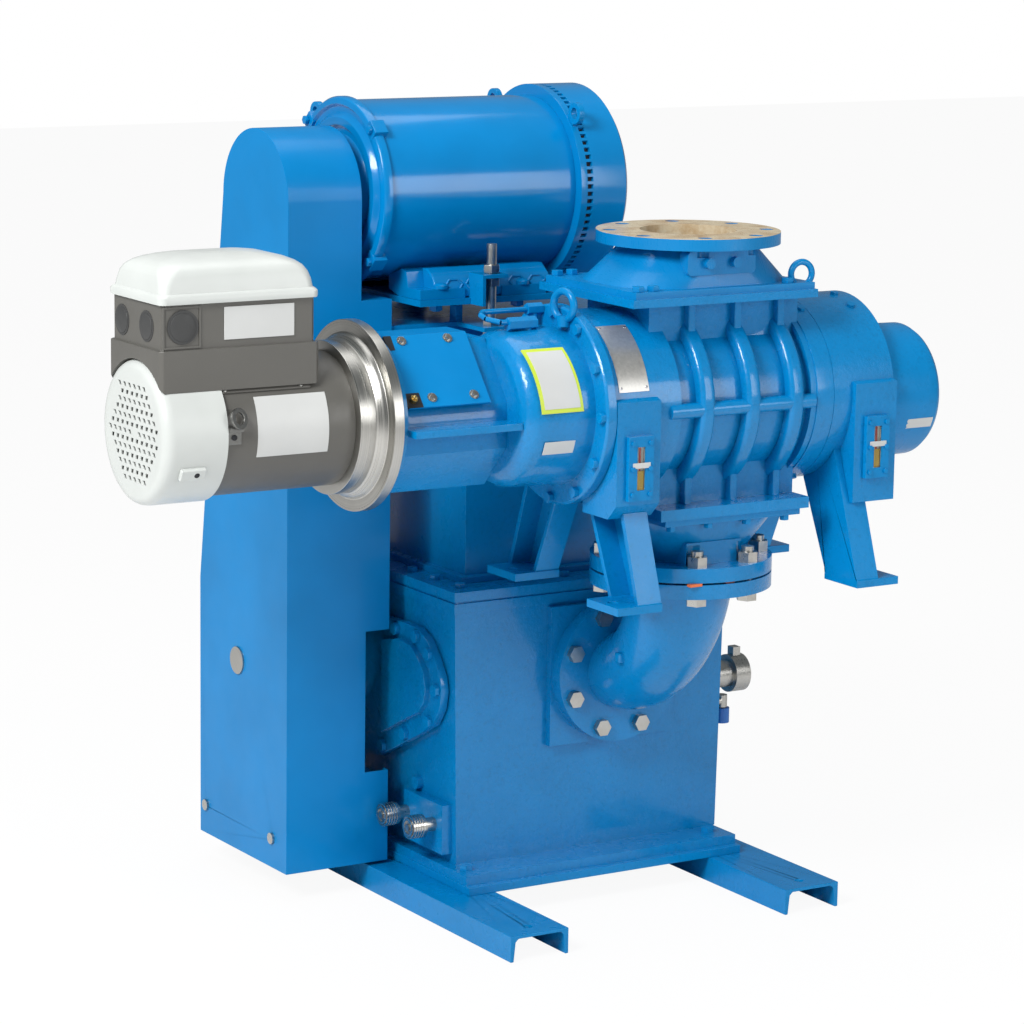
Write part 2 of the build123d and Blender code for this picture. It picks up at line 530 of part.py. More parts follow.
def booster_casing():
    """Ribbed cylinder: oblong twin bore in a round drum with necks, flanges, ribs and gussets."""
    y0, y1 = DRIVEN_Y, DRIVE_Y
    body = cyl_x(CASE_X0, CASE_X1, 0, AX_Z, CASE_WALL_R)
    body += cyl_x(CASE_X0, CASE_X0 + 24, 0, AX_Z, HEAD_R) + cyl_x(CASE_X1 - 10, CASE_X1, 0, AX_Z, HEAD_R)
    body += box(CASE_X0, CASE_X1, -84, 84, BOT_Z0, FLAN_Z1)
    body += box(-182, 150, -130, 130, FLAN_Z0, FLAN_Z1)
    body += box(CASE_X0, CASE_X1, -128, 128, BOT_Z0, BOT_Z1)
    for x in RIBS_X:
        rib = cyl_x(x - RIB_T / 2, x + RIB_T / 2, 0, AX_Z, RIB_R)
        rib = fillet(rib.edges().filter_by(GeomType.CIRCLE), 6)
        body += rib
        web = prism_x([(-118, FLAN_Z0 + 2), (-118, FLAN_Z0 - 6), (-96, AX_Z + 96), (96, AX_Z + 96),
                       (118, FLAN_Z0 - 6), (118, FLAN_Z0 + 2)], x - 6, x + 6)
        foot = prism_x([(-112, BOT_Z1 - 2), (-112, BOT_Z1 + 6), (-96, AX_Z - 96), (96, AX_Z - 96),
                        (112, BOT_Z1 + 6), (112, BOT_Z1 - 2)], x - 6, x + 6)
        body += web + foot
    for s in (-1, 1):
        body += cyl_x(CASE_X0 + 5, CASE_X1 - 5, s * (RIB_R - 8), AX_Z, 7)
    body -= cyl_x(CASE_X0 - 1, CASE_X1 + 1, y0, AX_Z, BORE_R) + cyl_x(CASE_X0 - 1, CASE_X1 + 1, y1, AX_Z, BORE_R)
    body -= box(-92, 114, -46, 46, AX_Z, FLAN_Z1 + 1) + box(-92, 114, -46, 46, BOT_Z0 - 1, AX_Z)
    return body


def inlet_adapter():
    """Round 6 in flange flaring down to the oblong casing flange."""
    z0, z1 = FLAN_Z1, INLET_Z
    body = cyl_z(z1 - INLET_T, z1, 0, 0, FL6_R)
    body += loft([Pos(0, 0, z1 - INLET_T + 1) * RectangleRounded(196, 196, 97.5),
                  Pos(-6, 0, z0 + 10) * RectangleRounded(304, 220, 90)])
    body += box(-174, 148, -124, 124, z0, z0 + ADAPT_T)
    pad = Pos(-12, -86, z1 - INLET_T - 20) * Rot(90, 0, 0) * extrude(RectangleRounded(122, 36, 7), 22)
    body += pad
    for x in (-38, 10):
        body += cyl_y(-118, -107, x, z1 - INLET_T - 20, 8)
    body -= loft([Pos(0, 0, z1 - 30) * RectangleRounded(2 * BORE6 - 1, 2 * BORE6 - 1, BORE6 - 1),
                  Pos(4, 0, z0 - 1) * RectangleRounded(206, 92, 30)])
    body -= cyl_z(z1 - 30, z1 + 1, 0, 0, BORE6)
    for a, b in on_circle(8, FL6_BC, 22.5):
        body -= cyl_z(z1 - INLET_T - 12, z1 + 1, a, b, 11.1)
    return body


def casing_bolt_spots():
    spots = [(x, y) for x in (-162, -136, 106, 134) for y in (-111, 111)]
    return [spot for spot in spots if spot != (134, -111)]


def casing_bolts():
    top = [Pos(x, y, FLAN_Z1 + ADAPT_T) * extrude(RegularPolygon(8.5, 6, major_radius=False), 8) for x, y in casing_bolt_spots()]
    low = [Pos(x, y, 637) * extrude(RegularPolygon(6.5, 6, major_radius=False), 8)
           for x in (-98, -30, 40, 110) for y in (-114.7, 114.7)]
    return group(top, low, end_bolts())


SUMP_LEFT = [(-150, 690), (-150, 843), (-60, 870), (-60, 668), (-128, 668)]
SUMP_RIGHT = [(-150, 660), (-150, 843), (-60, 870), (-60, 660)]


def head(x0, x1, sump0, sump1, pocket, side):
    """Headplate drum with an oil sump block hanging at the front."""
    body = cyl_x(x0, x1, 0, AX_Z, HEAD_R)
    body += prism_x(SUMP_LEFT, sump0, sump1)
    for y in (DRIVE_Y, DRIVEN_Y):
        body -= cyl_x(x0 - 1, x1 + 1, y, AX_Z, SHAFT_R + RUN)
        body -= cyl_x(pocket[0], pocket[1], y, AX_Z, 36)
    body -= box(sump0 + 10, sump1 - 10, -138, -96, 690, 800)
    return body


def headplate_left():
    return head(-220.0, CASE_X0, -219.0, -143.0, (-221.0, -200.0), -1)


def headplate_right():
    body = cyl_x(CASE_X1, 178, 0, AX_Z, HEAD_R + 2)
    for y in (DRIVE_Y, DRIVEN_Y):
        body -= cyl_x(CASE_X1 - 1, 179, y, AX_Z, SHAFT_R + RUN)
        body -= cyl_x(160, 179, y, AX_Z, 36)
    return body


def gear_cover():
    body = cyl_x(178, 290, 0, AX_Z, HEAD_R + 2)
    body += prism_x(SUMP_RIGHT, 212, 290)
    body -= lathe_x([(177, 0), (177, 112), (272, 112), (278, 106), (278, 0)], 0, AX_Z)
    body -= box(222, 280, -138, -80, 690, 800)
    return body


def end_cap():
    """Closed round cap over the gear end, hollow with a thick flange."""
    body = lathe_x([(290, 0), (290, 105), (CAP_X - 12, 103), (CAP_X - 4, 98), (CAP_X, 88), (CAP_X, 0)], CAP_Y, CAP_Z)
    return body - lathe_x([(289, 0), (289, 96), (CAP_X - 14, 94), (CAP_X - 8, 86), (CAP_X - 8, 0)], CAP_Y, CAP_Z)


CAP_X, CAP_Y, CAP_Z = 392.0, -32.0, 810.0


def bearings():
    rings = []
    for x0, x1 in ((-218, -202), (161, 177)):
        for y in (DRIVE_Y, DRIVEN_Y):
            rings.append(cyl_x(x0, x1, y, AX_Z, 36) - cyl_x(x0 - 1, x1 + 1, y, AX_Z, SHAFT_R + FIT))
    return group(rings)


def rotor_outline():
    """Two-lobe cycloidal outline on a pitch circle, drawn back by the running gap."""
    pitch = CENTRES / 2
    small = pitch / 4
    pts = []
    for q in range(4):
        start = math.pi / 2 * q - math.pi / 4
        for i in range(14):
            t = math.pi / 2 * i / 14
            if q % 2 == 0:
                x = (pitch + small) * math.cos(start + t) - small * math.cos(start + 5 * t)
                y = (pitch + small) * math.sin(start + t) - small * math.sin(start + 5 * t)
            else:
                x = (pitch - small) * math.cos(start + t) + small * math.cos(start - 3 * t)
                y = (pitch - small) * math.sin(start + t) + small * math.sin(start - 3 * t)
            pts.append((x, y))
    out = []
    for i, (x, y) in enumerate(pts):
        ax, ay = pts[i - 1]
        bx, by = pts[(i + 1) % len(pts)]
        dx, dy = bx - ax, by - ay
        d = math.hypot(dx, dy)
        out.append((x - LOBE_GAP * dy / d, y + LOBE_GAP * dx / d))
    return out


def rotor(y, turned, x_drive):
    lobes = extrude(Plane.YZ.offset(CASE_X0 + 2) * Rot(0, 0, turned) * make_face(Polyline(*rotor_outline(), close=True)),
                    CASE_X1 - CASE_X0 - 4)
    return Pos(0, y, AX_Z) * (lobes + cyl_x(x_drive, 240, 0, 0, SHAFT_R))


def timing_gear(y):
    """Involute spur gear, 15 teeth, with backlash left for free running."""
    n, m = 15, CENTRES / 15
    rp, rb = m * n / 2, m * n / 2 * math.cos(math.radians(20))
    ro, rr = rp + 0.85 * m, rp - 1.1 * m
    inv = math.tan(math.radians(20)) - math.radians(20)
    half = math.pi / (2 * n) - 0.55 / rp
    pts = []
    for k in range(n):
        mid = 2 * math.pi * k / n + math.pi
        flank = []
        for r in (max(rb, rr), rp - 0.3 * m, rp + 0.2 * m, ro):
            a = math.acos(min(1.0, rb / r))
            flank.append((r, half + inv - (math.tan(a) - a)))
        tooth = [(rr, -flank[0][1])] + [(r, -w) for r, w in flank] + [(r, w) for r, w in reversed(flank)] + [(rr, flank[0][1])]
        pts += [(r * math.cos(mid + w), r * math.sin(mid + w)) for r, w in tooth]
    gear = extrude(Plane.YZ.offset(196) * make_face(Polyline(*pts, close=True)), 24)
    gear += cyl_x(220, 232, 0, 0, 26)
    return Pos(0, y, AX_Z) * (gear - cyl_x(190, 240, 0, 0, SHAFT_R))


# ------------------------------------------------------------------ drive end
DOME = [(-220, 0), (-220, 150), (-234, 150), (-237, 147), (-237, 120), (-330, 116), (-344, 108), (-352, 92), (-352, 0)]


def drive_cover():
    """Domed cover over the shaft seal at the drive end."""
    body = lathe_x(DOME, 0, AX_Z)
    body -= lathe_x([(-219, 0), (-219, 108), (-330, 106), (-338, 90), (-338, 0)], 0, AX_Z)
    return body - cyl_x(-360, -330, DRIVE_Y, AX_Z, SHAFT_R + RUN)


def end_bolts():
    return group([Pos(-237, a, AX_Z + b) * Rot(0, -90, 0) * extrude(RegularPolygon(7.5, 6, major_radius=False), 8)
                  for a, b in on_circle(12, 139.5, 0)])


LANTERN = [(-58, 842), (12, 928), (76, 928), (132, 870), (132, 774), (84, 710), (6, 710), (-58, 774)]


def lantern():
    """Open cast bracket between the booster and the motor ring, side shelf and windows."""
    y0 = DRIVE_Y
    body = prism_x(LANTERN, -528, -350)
    inner = [(y0 + (y - y0) * 0.86, AX_Z + (z - AX_Z) * 0.86) for y, z in LANTERN]
    body -= prism_x(inner, -529, -362)
    body += cyl_x(-544, -528, y0, AX_Z, 122) - cyl_x(-545, -520, y0, AX_Z, 70)
    body += box(-528, -350, -100, -50, 806, 816) + box(-528, -350, 120, 158, 806, 816)
    body -= prism_x([(-64, 850), (10, 941), (40, 960), (-90, 960)], -516, -392)
    body -= cyl_x(-365, -340, y0, AX_Z, SHAFT_R + RUN)
    return body - lathe_x(DOME, 0, AX_Z)


def lantern_cover():
    """Folded sheet cover over the coupling opening."""
    pts = [(-70, 846), (6, 940), (60, 940), (60, 937.5), (8, 937.5), (-68, 843.5)]
    sheet = prism_x(pts, -522, -386)
    sheet += prism_x([(12, 928), (60, 928), (60, 938), (12, 938)], -528, -516)
    return sheet


def adapter_ring():
    """Bare steel ring adapter between the lantern and the face of the motor."""
    prof = [(-544, 60), (-544, RING_R), (-560, RING_R), (-560, 122), (-568, 118), (-574, 112), (-600, 112), (-600, 60)]
    return lathe_x(prof, DRIVE_Y, AX_Z)


def booster_motor():
    body = cyl_x(BM_X0, BM_X1, DRIVE_Y, AX_Z, BM_R) - cyl_x(BM_X0 + 10, BM_X1 - 10, DRIVE_Y, AX_Z, BM_R - 9)
    body -= cyl_x(BM_X0 - 5, BM_X1 - 50, DRIVE_Y, AX_Z, 17)
    return body - cyl_x(BM_X1 - 60, BM_X1 + 5, DRIVE_Y, AX_Z, 14 + FIT)


def fan_cowl():
    y, z = DRIVE_Y, AX_Z
    body = lathe_x([(BM_X0 - 0.2, 98.2), (-806, 98.2), (-806, 104), (-880, 104), (-896, 98), (-904, 84), (-904, 0),
                    (-901, 0), (-901, 83), (-894, 95), (-879, 101), (BM_X0 - 0.2, 101)], y, z)
    body += Pos(-838, y, z) * Rot(28, 0, 0) * box(-14, 16, -112, -100, -9, 9)
    for r, n in ((30, 6), (48, 10), (66, 14)):
        for a, b in on_circle(n, r, 7 * n):
            body -= Pos(-903, y + a, z + b) * Box(8, 9, 9)
    return body


def drive_box():
    """Grey electronics box saddled on the booster motor."""
    y0, y1 = DRIVE_Y - 82, DRIVE_Y + 82
    body = box(-900, -650, y0, y1, 884, 946) + box(-896, -656, y0 + 4, y1 - 4, 946, 1010)
    body = chamfer(body.edges().filter_by(Axis.Z), 5)
    body -= cyl_x(-950, -600, DRIVE_Y, AX_Z, 104.3)
    body += box(-800, -680, DRIVE_Y - 20, DRIVE_Y + 20, 900, 926)
    body -= cyl_x(-950, -600, DRIVE_Y, AX_Z, BM_R)
    return body - box(-884, -668, y0 + 16, y1 - 16, 950, 1011)


def drive_lid():
    y = DRIVE_Y
    base = Pos(-776, y, 0) * box(-124, 124, -83, 83, 1010, 1022)
    hump = loft([Pos(-776, y, 1022) * RectangleRounded(240, 158, 12), Pos(-776, y, 1052) * RectangleRounded(224, 128, 12),
                 Pos(-784, y, 1074) * RectangleRounded(120, 60, 12)], ruled=True)
    return base + hump


def booster_motor_shaft():
    """Motor shaft with its rotor core and fan."""
    shaft = cyl_x(-892, -470, DRIVE_Y, AX_Z, 14) + cyl_x(-780, -640, DRIVE_Y, AX_Z, 56)
    shaft += cyl_x(-884, -878, DRIVE_Y, AX_Z, 30)
    for i in range(6):
        shaft += Pos(0, DRIVE_Y, AX_Z) * Rot(60 * i, 0, 0) * box(-884, -850, -2, 2, 26, 86)
    return shaft


def coupling():
    """Two jaw hubs on the shaft ends with a spider between."""
    y, z = DRIVE_Y, AX_Z
    a = cyl_x(-500, -462, y, z, 36) - cyl_x(-501, -470, y, z, 14)
    b = cyl_x(-440, -404, y, z, 36) - cyl_x(-441, -403, y, z, SHAFT_R)
    spider = cyl_x(-462, -440, y, z, 33)
    return group(a, b, spider)


# ------------------------------------------------------------------ booster fittings
def leg(xw, out):
    """Channel leg leaning outward: web, two flanges and a drilled foot."""
    t, depth = 8.0, 42.0
    z0, z1 = 546.0, 760.0
    web = [(-182, z0), (-102, z0), (-3, z1), (-108, z1)]
    x0, x1 = (xw - t, xw) if out < 0 else (xw, xw + t)
    body = prism_x(web, x0, x1)
    for top, low in (((-108, -99), (-182, -173)), ((-12, -3), (-111, -102))):
        flange = prism_x([(low[0], z0), (low[1], z0), (top[1], z1), (top[0], z1)],
                         min(xw, xw + out * depth), max(xw, xw + out * depth))
        body += flange
    body += box(min(xw, xw + out * 79), max(xw, xw + out * 79), -184, -100, z0 - 12, z0)
    body -= cyl_z(z0 - 20, z0 + 1, xw + out * 60, -142, 8)
    return body


def booster_legs():
    legs = []
    for xw, out, drum in ((-156.0, -1, cyl_x(-230, CASE_X0, 0, AX_Z, HEAD_R)),
                          (200.0, 1, cyl_x(170, 300, 0, AX_Z, HEAD_R + 2))):
        sump = prism_x(SUMP_LEFT, -219, -143) if out < 0 else prism_x(SUMP_RIGHT, 212, 290)
        legs += [leg(xw, out) - drum - sump, mirror(leg(xw, out), Plane.XZ) - drum]
    return group(legs)


SIGHTS = ((-181.0, 745.0), (251.0, 745.0))


def sight_frames():
    items = []
    for x, z in SIGHTS:
        frame = box(x - 22, x + 22, -158, -150, z - 48, z + 48)
        frame -= box(x - 7, x + 7, -160, -149, z - 32, z + 32)
        items.append(frame)
    return group(items)


def sight_lenses():
    return group([box(x - 6.8, x + 6.8, -156, -150, z - 31.8, z + 31.8) for x, z in SIGHTS])


def lifting_eyes():
    ring1 = cyl_x(-249, -237, -36, 984, 20) + box(-249, -237, -50, -22, 946, 980) - cyl_x(-250, -236, -36, 984, 11)
    ring1 -= lathe_x([(-237, 0), (-237, 120), (-330, 116), (-330, 0)], 0, AX_Z)
    x, y, z = 134.0, -108.0, FLAN_Z1 + ADAPT_T
    ring2 = cyl_y(y - 5, y + 5, x, z + 24, 21) - cyl_y(y - 6, y + 6, x, z + 24, 12) + cyl_z(z, z + 6, x, y, 11)
    return group(ring1, ring2)


def vent_tube():
    path = Polyline((-252, 34, 962), (-340, 34, 962), (-352, 20, 960), (-352, 4, 956), (-336, -10, 952), (-312, -10, 950))
    tube = sweep(Plane(origin=(-252, 34, 962), z_dir=(-1, 0, 0)) * Circle(4), path, transition=Transition.ROUND)
    block = Pos(-300, -10, 948) * Rot(0, 90, 0) * extrude(RegularPolygon(9, 6, major_radius=False), 24, both=True)
    stem = cyl_z(930, 950, -290, -10, 7)
    tail = Pos(-264, 34, 962) * Rot(0, 90, 0) * extrude(RegularPolygon(8, 6, major_radius=False), 26)
    drop = cyl_z(932, 962, -252, 34, 7)
    return group(tube + block + stem + tail + drop - lathe_x(DOME, 0, AX_Z))


# ------------------------------------------------------------------ small fittings of the pump
def drain_valves():
    items = []
    for y, z in DRAINS:
        x = DRAIN_PAD_X
        items.append(cyl_x(x - 22, x, y, z, 11) + cyl_x(x - 44, x - 20, y, z, 18)
                     + cyl_x(x - 48, x - 43, y, z, 6))
    return group(items)


DRAINS = ((234.0, 128.0), (318.0, 128.0))


DRAIN_PAD_X = -297.0


def pump_side_wedge():
    z0, d = RAIL_H + PLATE_T + FOOT_T, BOX_DRAFT
    return prism_y([(BOX_X0 + d, z0), (BOX_X0, BOX_TOP), (BOX_X0 + 60, BOX_TOP), (BOX_X0 + 60, z0)], BOX_Y0, BOX_Y1)


PORT_Y, SIDE_Z, VALVE_X = 236.0, 309.0, 250.0


def right_wall():
    """Wedge on the pump box's right wall, to cut its fittings to the draft."""
    z0, x = RAIL_H + PLATE_T + FOOT_T, BOX_X1
    return prism_y([(x - BOX_DRAFT, z0), (x, BOX_TOP), (x - 60, BOX_TOP), (x - 60, z0)], BOX_Y0, BOX_Y1)


def side_port():
    """Clamped stub flange on the right side of the pump box."""
    x = BOX_X1
    body = cyl_x(x - 6, x + 38, PORT_Y, SIDE_Z, 22) + cyl_x(x + 38, x + 66, PORT_Y, SIDE_Z, 31)
    body += Pos(x + 52, PORT_Y, SIDE_Z) * box(-7, 7, -8, 8, 29, 44)
    body -= cyl_x(x + 6, x + 70, PORT_Y, SIDE_Z, 18)
    return body - right_wall()


def ballast_valve():
    x, z = VALVE_X, 262.0
    body = cyl_x(BOX_X1 - 6, x, PORT_Y, z + 2, 8) + cyl_z(z - 8, z + 12, x, PORT_Y, 9)
    body += cyl_z(z - 24, z - 7, x, PORT_Y, 4)
    return body - right_wall()


def ballast_knob():
    z = 254.0
    return cyl_z(z - 26, z - 1.5, VALVE_X, PORT_Y, 13) - cyl_z(z - 17, z, VALVE_X, PORT_Y, 4.05)


PARTS = {
    "skid_rails": lambda: group(rail(RAIL_L_X), rail(RAIL_R_X)),
    "base_plate": base_plate, "base_bolts": base_bolts,
    "pump_housing": pump_housing, "bearing_cover": bearing_cover,
    "pump_cover": pump_cover, "pump_bolts": pump_bolts, "riser": riser, "motor_deck": motor_deck,
    "hinge_pin": hinge_pin, "jack_rod": jack_rod, "jack_nuts": jack_nuts, "motor_plate": motor_plate,
    "motor_bolts": motor_bolts, "motor_frame": motor_frame, "drive_bell": drive_bell, "fan_cover": fan_cover,
    "motor_eyes": motor_eyes, "motor_shaft": motor_shaft, "motor_fan": motor_fan, "motor_sheave": motor_sheave,
    "pump_sheave": pump_sheave, "v_belts": v_belts, "pump_shaft": pump_shaft, "belt_guard": belt_guard,
    "guard_fittings": guard_fittings, "elbow": elbow, "joint_gasket": joint_gasket, "flange_bolts": flange_bolts,
    "discharge_adapter": discharge_adapter, "booster_casing": booster_casing, "inlet_adapter": inlet_adapter,
    "casing_bolts": casing_bolts, "headplate_left": headplate_left, "headplate_right": headplate_right,
    "gear_cover": gear_cover, "end_cap": end_cap, "bearings": bearings,
    "rotor_drive": lambda: rotor(DRIVE_Y, 90, -430.0), "rotor_driven": lambda: rotor(DRIVEN_Y, 0, -218.0),
    "gear_drive": lambda: timing_gear(DRIVE_Y), "gear_driven": lambda: timing_gear(DRIVEN_Y),
    "drive_cover": drive_cover, "lantern": lantern,
    "lantern_cover": lantern_cover, "adapter_ring": adapter_ring, "booster_motor": booster_motor,
    "fan_cowl": fan_cowl, "drive_box": drive_box, "drive_lid": drive_lid, "booster_motor_shaft": booster_motor_shaft,
    "coupling": coupling, "booster_legs": booster_legs, "sight_frames": sight_frames, "lifting_eyes": lifting_eyes,
    "sight_lenses": sight_lenses, "vent_tube": vent_tube, "drain_valves": drain_valves,
    "side_ports": lambda: group(side_port(), ballast_valve()), "ballast_knob": ballast_knob,
}

os.makedirs("parts", exist_ok=True)
for name, make in PARTS.items():
    shape = Pos(*SHIFT) * make()
    export_step(shape, "parts/%s.step" % name)
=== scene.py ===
import json
import math

import bmesh
import bpy
from mathutils import Matrix, Vector


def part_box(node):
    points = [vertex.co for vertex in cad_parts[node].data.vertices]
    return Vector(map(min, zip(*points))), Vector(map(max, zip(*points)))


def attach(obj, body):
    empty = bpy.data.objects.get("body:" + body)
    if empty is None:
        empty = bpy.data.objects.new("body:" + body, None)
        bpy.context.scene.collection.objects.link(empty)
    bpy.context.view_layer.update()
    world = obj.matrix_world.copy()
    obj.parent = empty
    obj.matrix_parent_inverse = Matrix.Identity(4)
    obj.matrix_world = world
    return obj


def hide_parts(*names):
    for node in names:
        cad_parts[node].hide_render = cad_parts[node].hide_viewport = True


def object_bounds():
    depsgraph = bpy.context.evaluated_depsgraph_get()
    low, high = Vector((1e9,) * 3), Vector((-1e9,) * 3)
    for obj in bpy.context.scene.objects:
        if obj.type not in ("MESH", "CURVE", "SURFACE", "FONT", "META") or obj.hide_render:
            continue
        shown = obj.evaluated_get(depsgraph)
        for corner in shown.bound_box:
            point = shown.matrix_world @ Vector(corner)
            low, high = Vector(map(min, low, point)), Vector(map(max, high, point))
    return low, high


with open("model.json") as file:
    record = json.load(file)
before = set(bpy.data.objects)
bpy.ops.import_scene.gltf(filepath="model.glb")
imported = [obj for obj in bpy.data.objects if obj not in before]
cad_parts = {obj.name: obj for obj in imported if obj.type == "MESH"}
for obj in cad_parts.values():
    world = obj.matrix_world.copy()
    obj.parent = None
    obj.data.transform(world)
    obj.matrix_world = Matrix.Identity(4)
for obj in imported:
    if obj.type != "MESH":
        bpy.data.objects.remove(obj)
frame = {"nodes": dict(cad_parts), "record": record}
NODES, RECORD = frame["nodes"], frame["record"]
CAD_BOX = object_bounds()

MM = 0.001
SHIFT_X, SHIFT_Y = 256.0, -326.0          # the inlet flange's axis in the row frame, in mm
AXIS_Z, DRIVE_Y = 822.0, 45.0             # height of the booster's shafts, and the drive shaft's Y
RIB_X = (-55.0, 28.0, 107.0)              # the casing's three ribs
RIB_WIDTH, RIB_HEIGHT, RIB_CORNER = 27.0, 23.0, 8.5
RIB_LINE_R = 136.0                        # the circle that the middle of each rib runs on
WEB_CUT_R = 147.2                         # the circle that the web tips are cut back to
WEB_T = 13.0
SLOT_RIBS = 84                            # bars between the main motor's air slots


def at(x, y, z):
    """A point given in mm from the inlet axis, in the row frame in metres."""
    return Vector(((x + SHIFT_X) * MM, (y + SHIFT_Y) * MM, z * MM))


# ------------------------------------------------------------------ materials
class Graph:
    """Short calls for one material's nodes."""

    def __init__(self, name):
        self.mat = bpy.data.materials.new(name)
        self.mat.use_nodes = True
        self.tree = self.mat.node_tree
        self.shader = self.tree.nodes["Principled BSDF"]
        self.coords = self.node("ShaderNodeTexCoord").outputs["Object"]

    def node(self, kind, **values):
        n = self.tree.nodes.new(kind)
        for key, value in values.items():
            if key in n.inputs:
                n.inputs[key].default_value = value
            else:
                setattr(n, key, value)
        return n

    def link(self, a, b):
        self.tree.links.new(a, b)

    def put(self, **values):
        for key, value in values.items():
            self.shader.inputs[key.replace("_", " ")].default_value = value

    def noise(self, scale, detail=3.0, rough=0.55, stretch=None):
        n = self.node("ShaderNodeTexNoise", Scale=scale, Detail=detail, Roughness=rough)
        src = self.coords
        if stretch:
            m = self.node("ShaderNodeMapping")
            m.inputs["Scale"].default_value = stretch
            self.link(src, m.inputs["Vector"])
            src = m.outputs["Vector"]
        self.link(src, n.inputs["Vector"])
        return n.outputs["Fac"]

    def span(self, value, a, b, lo=0.3, hi=0.7):
        n = self.node("ShaderNodeMapRange")
        for i, v in enumerate((lo, hi, a, b)):
            n.inputs[i + 1].default_value = v
        self.link(value, n.inputs[0])
        return n.outputs["Result"]

    def mix(self, fac, a, b):
        n = self.node("ShaderNodeMix", data_type="RGBA")
        self.link(fac, n.inputs[0])
        for i, c in ((6, a), (7, b)):
            if isinstance(c, tuple):
                n.inputs[i].default_value = (*c, 1.0)
            else:
                self.link(c, n.inputs[i])
        return n.outputs[2]

    def bump(self, height, strength, distance, after=None):
        n = self.node("ShaderNodeBump", Strength=strength, Distance=distance)
        self.link(height, n.inputs["Height"])
        if after is not None:
            self.link(after, n.inputs["Normal"])
        return n.outputs["Normal"]

    def finish(self, color=None, rough=None, normal=None):
        for socket, name in ((color, "Base Color"), (rough, "Roughness"), (normal, "Normal")):
            if socket is not None:
                self.link(socket, self.shader.inputs[name])
        return self.mat


def tint(color, k):
    return tuple(min(1.0, c * k) for c in color)


def paint(name, color, cast=0.0, rough=(0.24, 0.34), coat=0.12):
    """Enamel: slow colour drift, orange peel, and a sand-cast skin below it where cast is above 0."""
    g = Graph(name)
    g.put(Coat_Weight=coat, Coat_Roughness=0.12, Specular_IOR_Level=0.16)
    drift = g.noise(7.0, 3.0)
    colour = g.mix(g.span(drift, 0.0, 1.0), tint(color, 0.92), tint(color, 1.06))
    if cast:
        pits = g.noise(150.0, 4.0, 0.6)
        colour = g.mix(g.span(pits, 0.35, 0.0, 0.32, 0.46), colour, tint(color, 0.62))
        normal = g.bump(g.noise(230.0, 5.0, 0.62), 0.55 * cast, 0.0016)
        normal = g.bump(g.noise(45.0, 2.0), 0.4 * cast, 0.0025, normal)
    else:
        normal = g.bump(g.noise(330.0, 2.0), 0.12, 0.0005)
    return g.finish(colour, g.span(g.noise(24.0, 4.0), *rough), normal)


def metal(name, color, rough=(0.22, 0.38), grain=None, stain=None, metallic=1.0, bump=0.08):
    """Bare metal: grain stretched along one direction, with faint stains."""
    g = Graph(name)
    g.put(Metallic=metallic)
    lines = g.noise(60.0, 6.0, 0.7, grain or (1.0, 1.0, 1.0))
    colour = g.mix(g.span(lines, 0.0, 1.0), tint(color, 0.84), tint(color, 1.08))
    if stain:
        colour = g.mix(g.span(g.noise(12.0, 5.0, 0.6), 0.0, 0.7, 0.48, 0.72), colour, stain)
    return g.finish(colour, g.span(lines, *rough), g.bump(lines, bump, 0.0006))


def turned(name, color, centre):
    """Lathe-turned metal: fine rings about the X line through centre."""
    g = Graph(name)
    g.put(Metallic=1.0)
    flat = g.node("ShaderNodeVectorMath", operation="MULTIPLY_ADD")
    flat.inputs[1].default_value = (0.0, 1.0, 1.0)
    flat.inputs[2].default_value = (0.0, -centre.y, -centre.z)
    g.link(g.coords, flat.inputs[0])
    radius = g.node("ShaderNodeVectorMath", operation="LENGTH")
    g.link(flat.outputs[0], radius.inputs[0])
    both = g.node("ShaderNodeCombineXYZ")
    apart = g.node("ShaderNodeSeparateXYZ")
    g.link(g.coords, apart.inputs[0])
    g.link(radius.outputs["Value"], both.inputs[0])
    g.link(apart.outputs[0], both.inputs[1])
    lines = g.node("ShaderNodeTexNoise", Scale=420.0, Detail=4.0, Roughness=0.6)
    g.link(both.outputs[0], lines.inputs["Vector"])
    lines = lines.outputs["Fac"]
    colour = g.mix(g.span(lines, 0.0, 1.0), tint(color, 0.8), tint(color, 1.08))
    colour = g.mix(g.span(g.noise(14.0, 4.0), 0.0, 0.5, 0.45, 0.75), colour, tint(color, 0.72))
    return g.finish(colour, g.span(lines, 0.24, 0.4), g.bump(lines, 0.12, 0.0004))


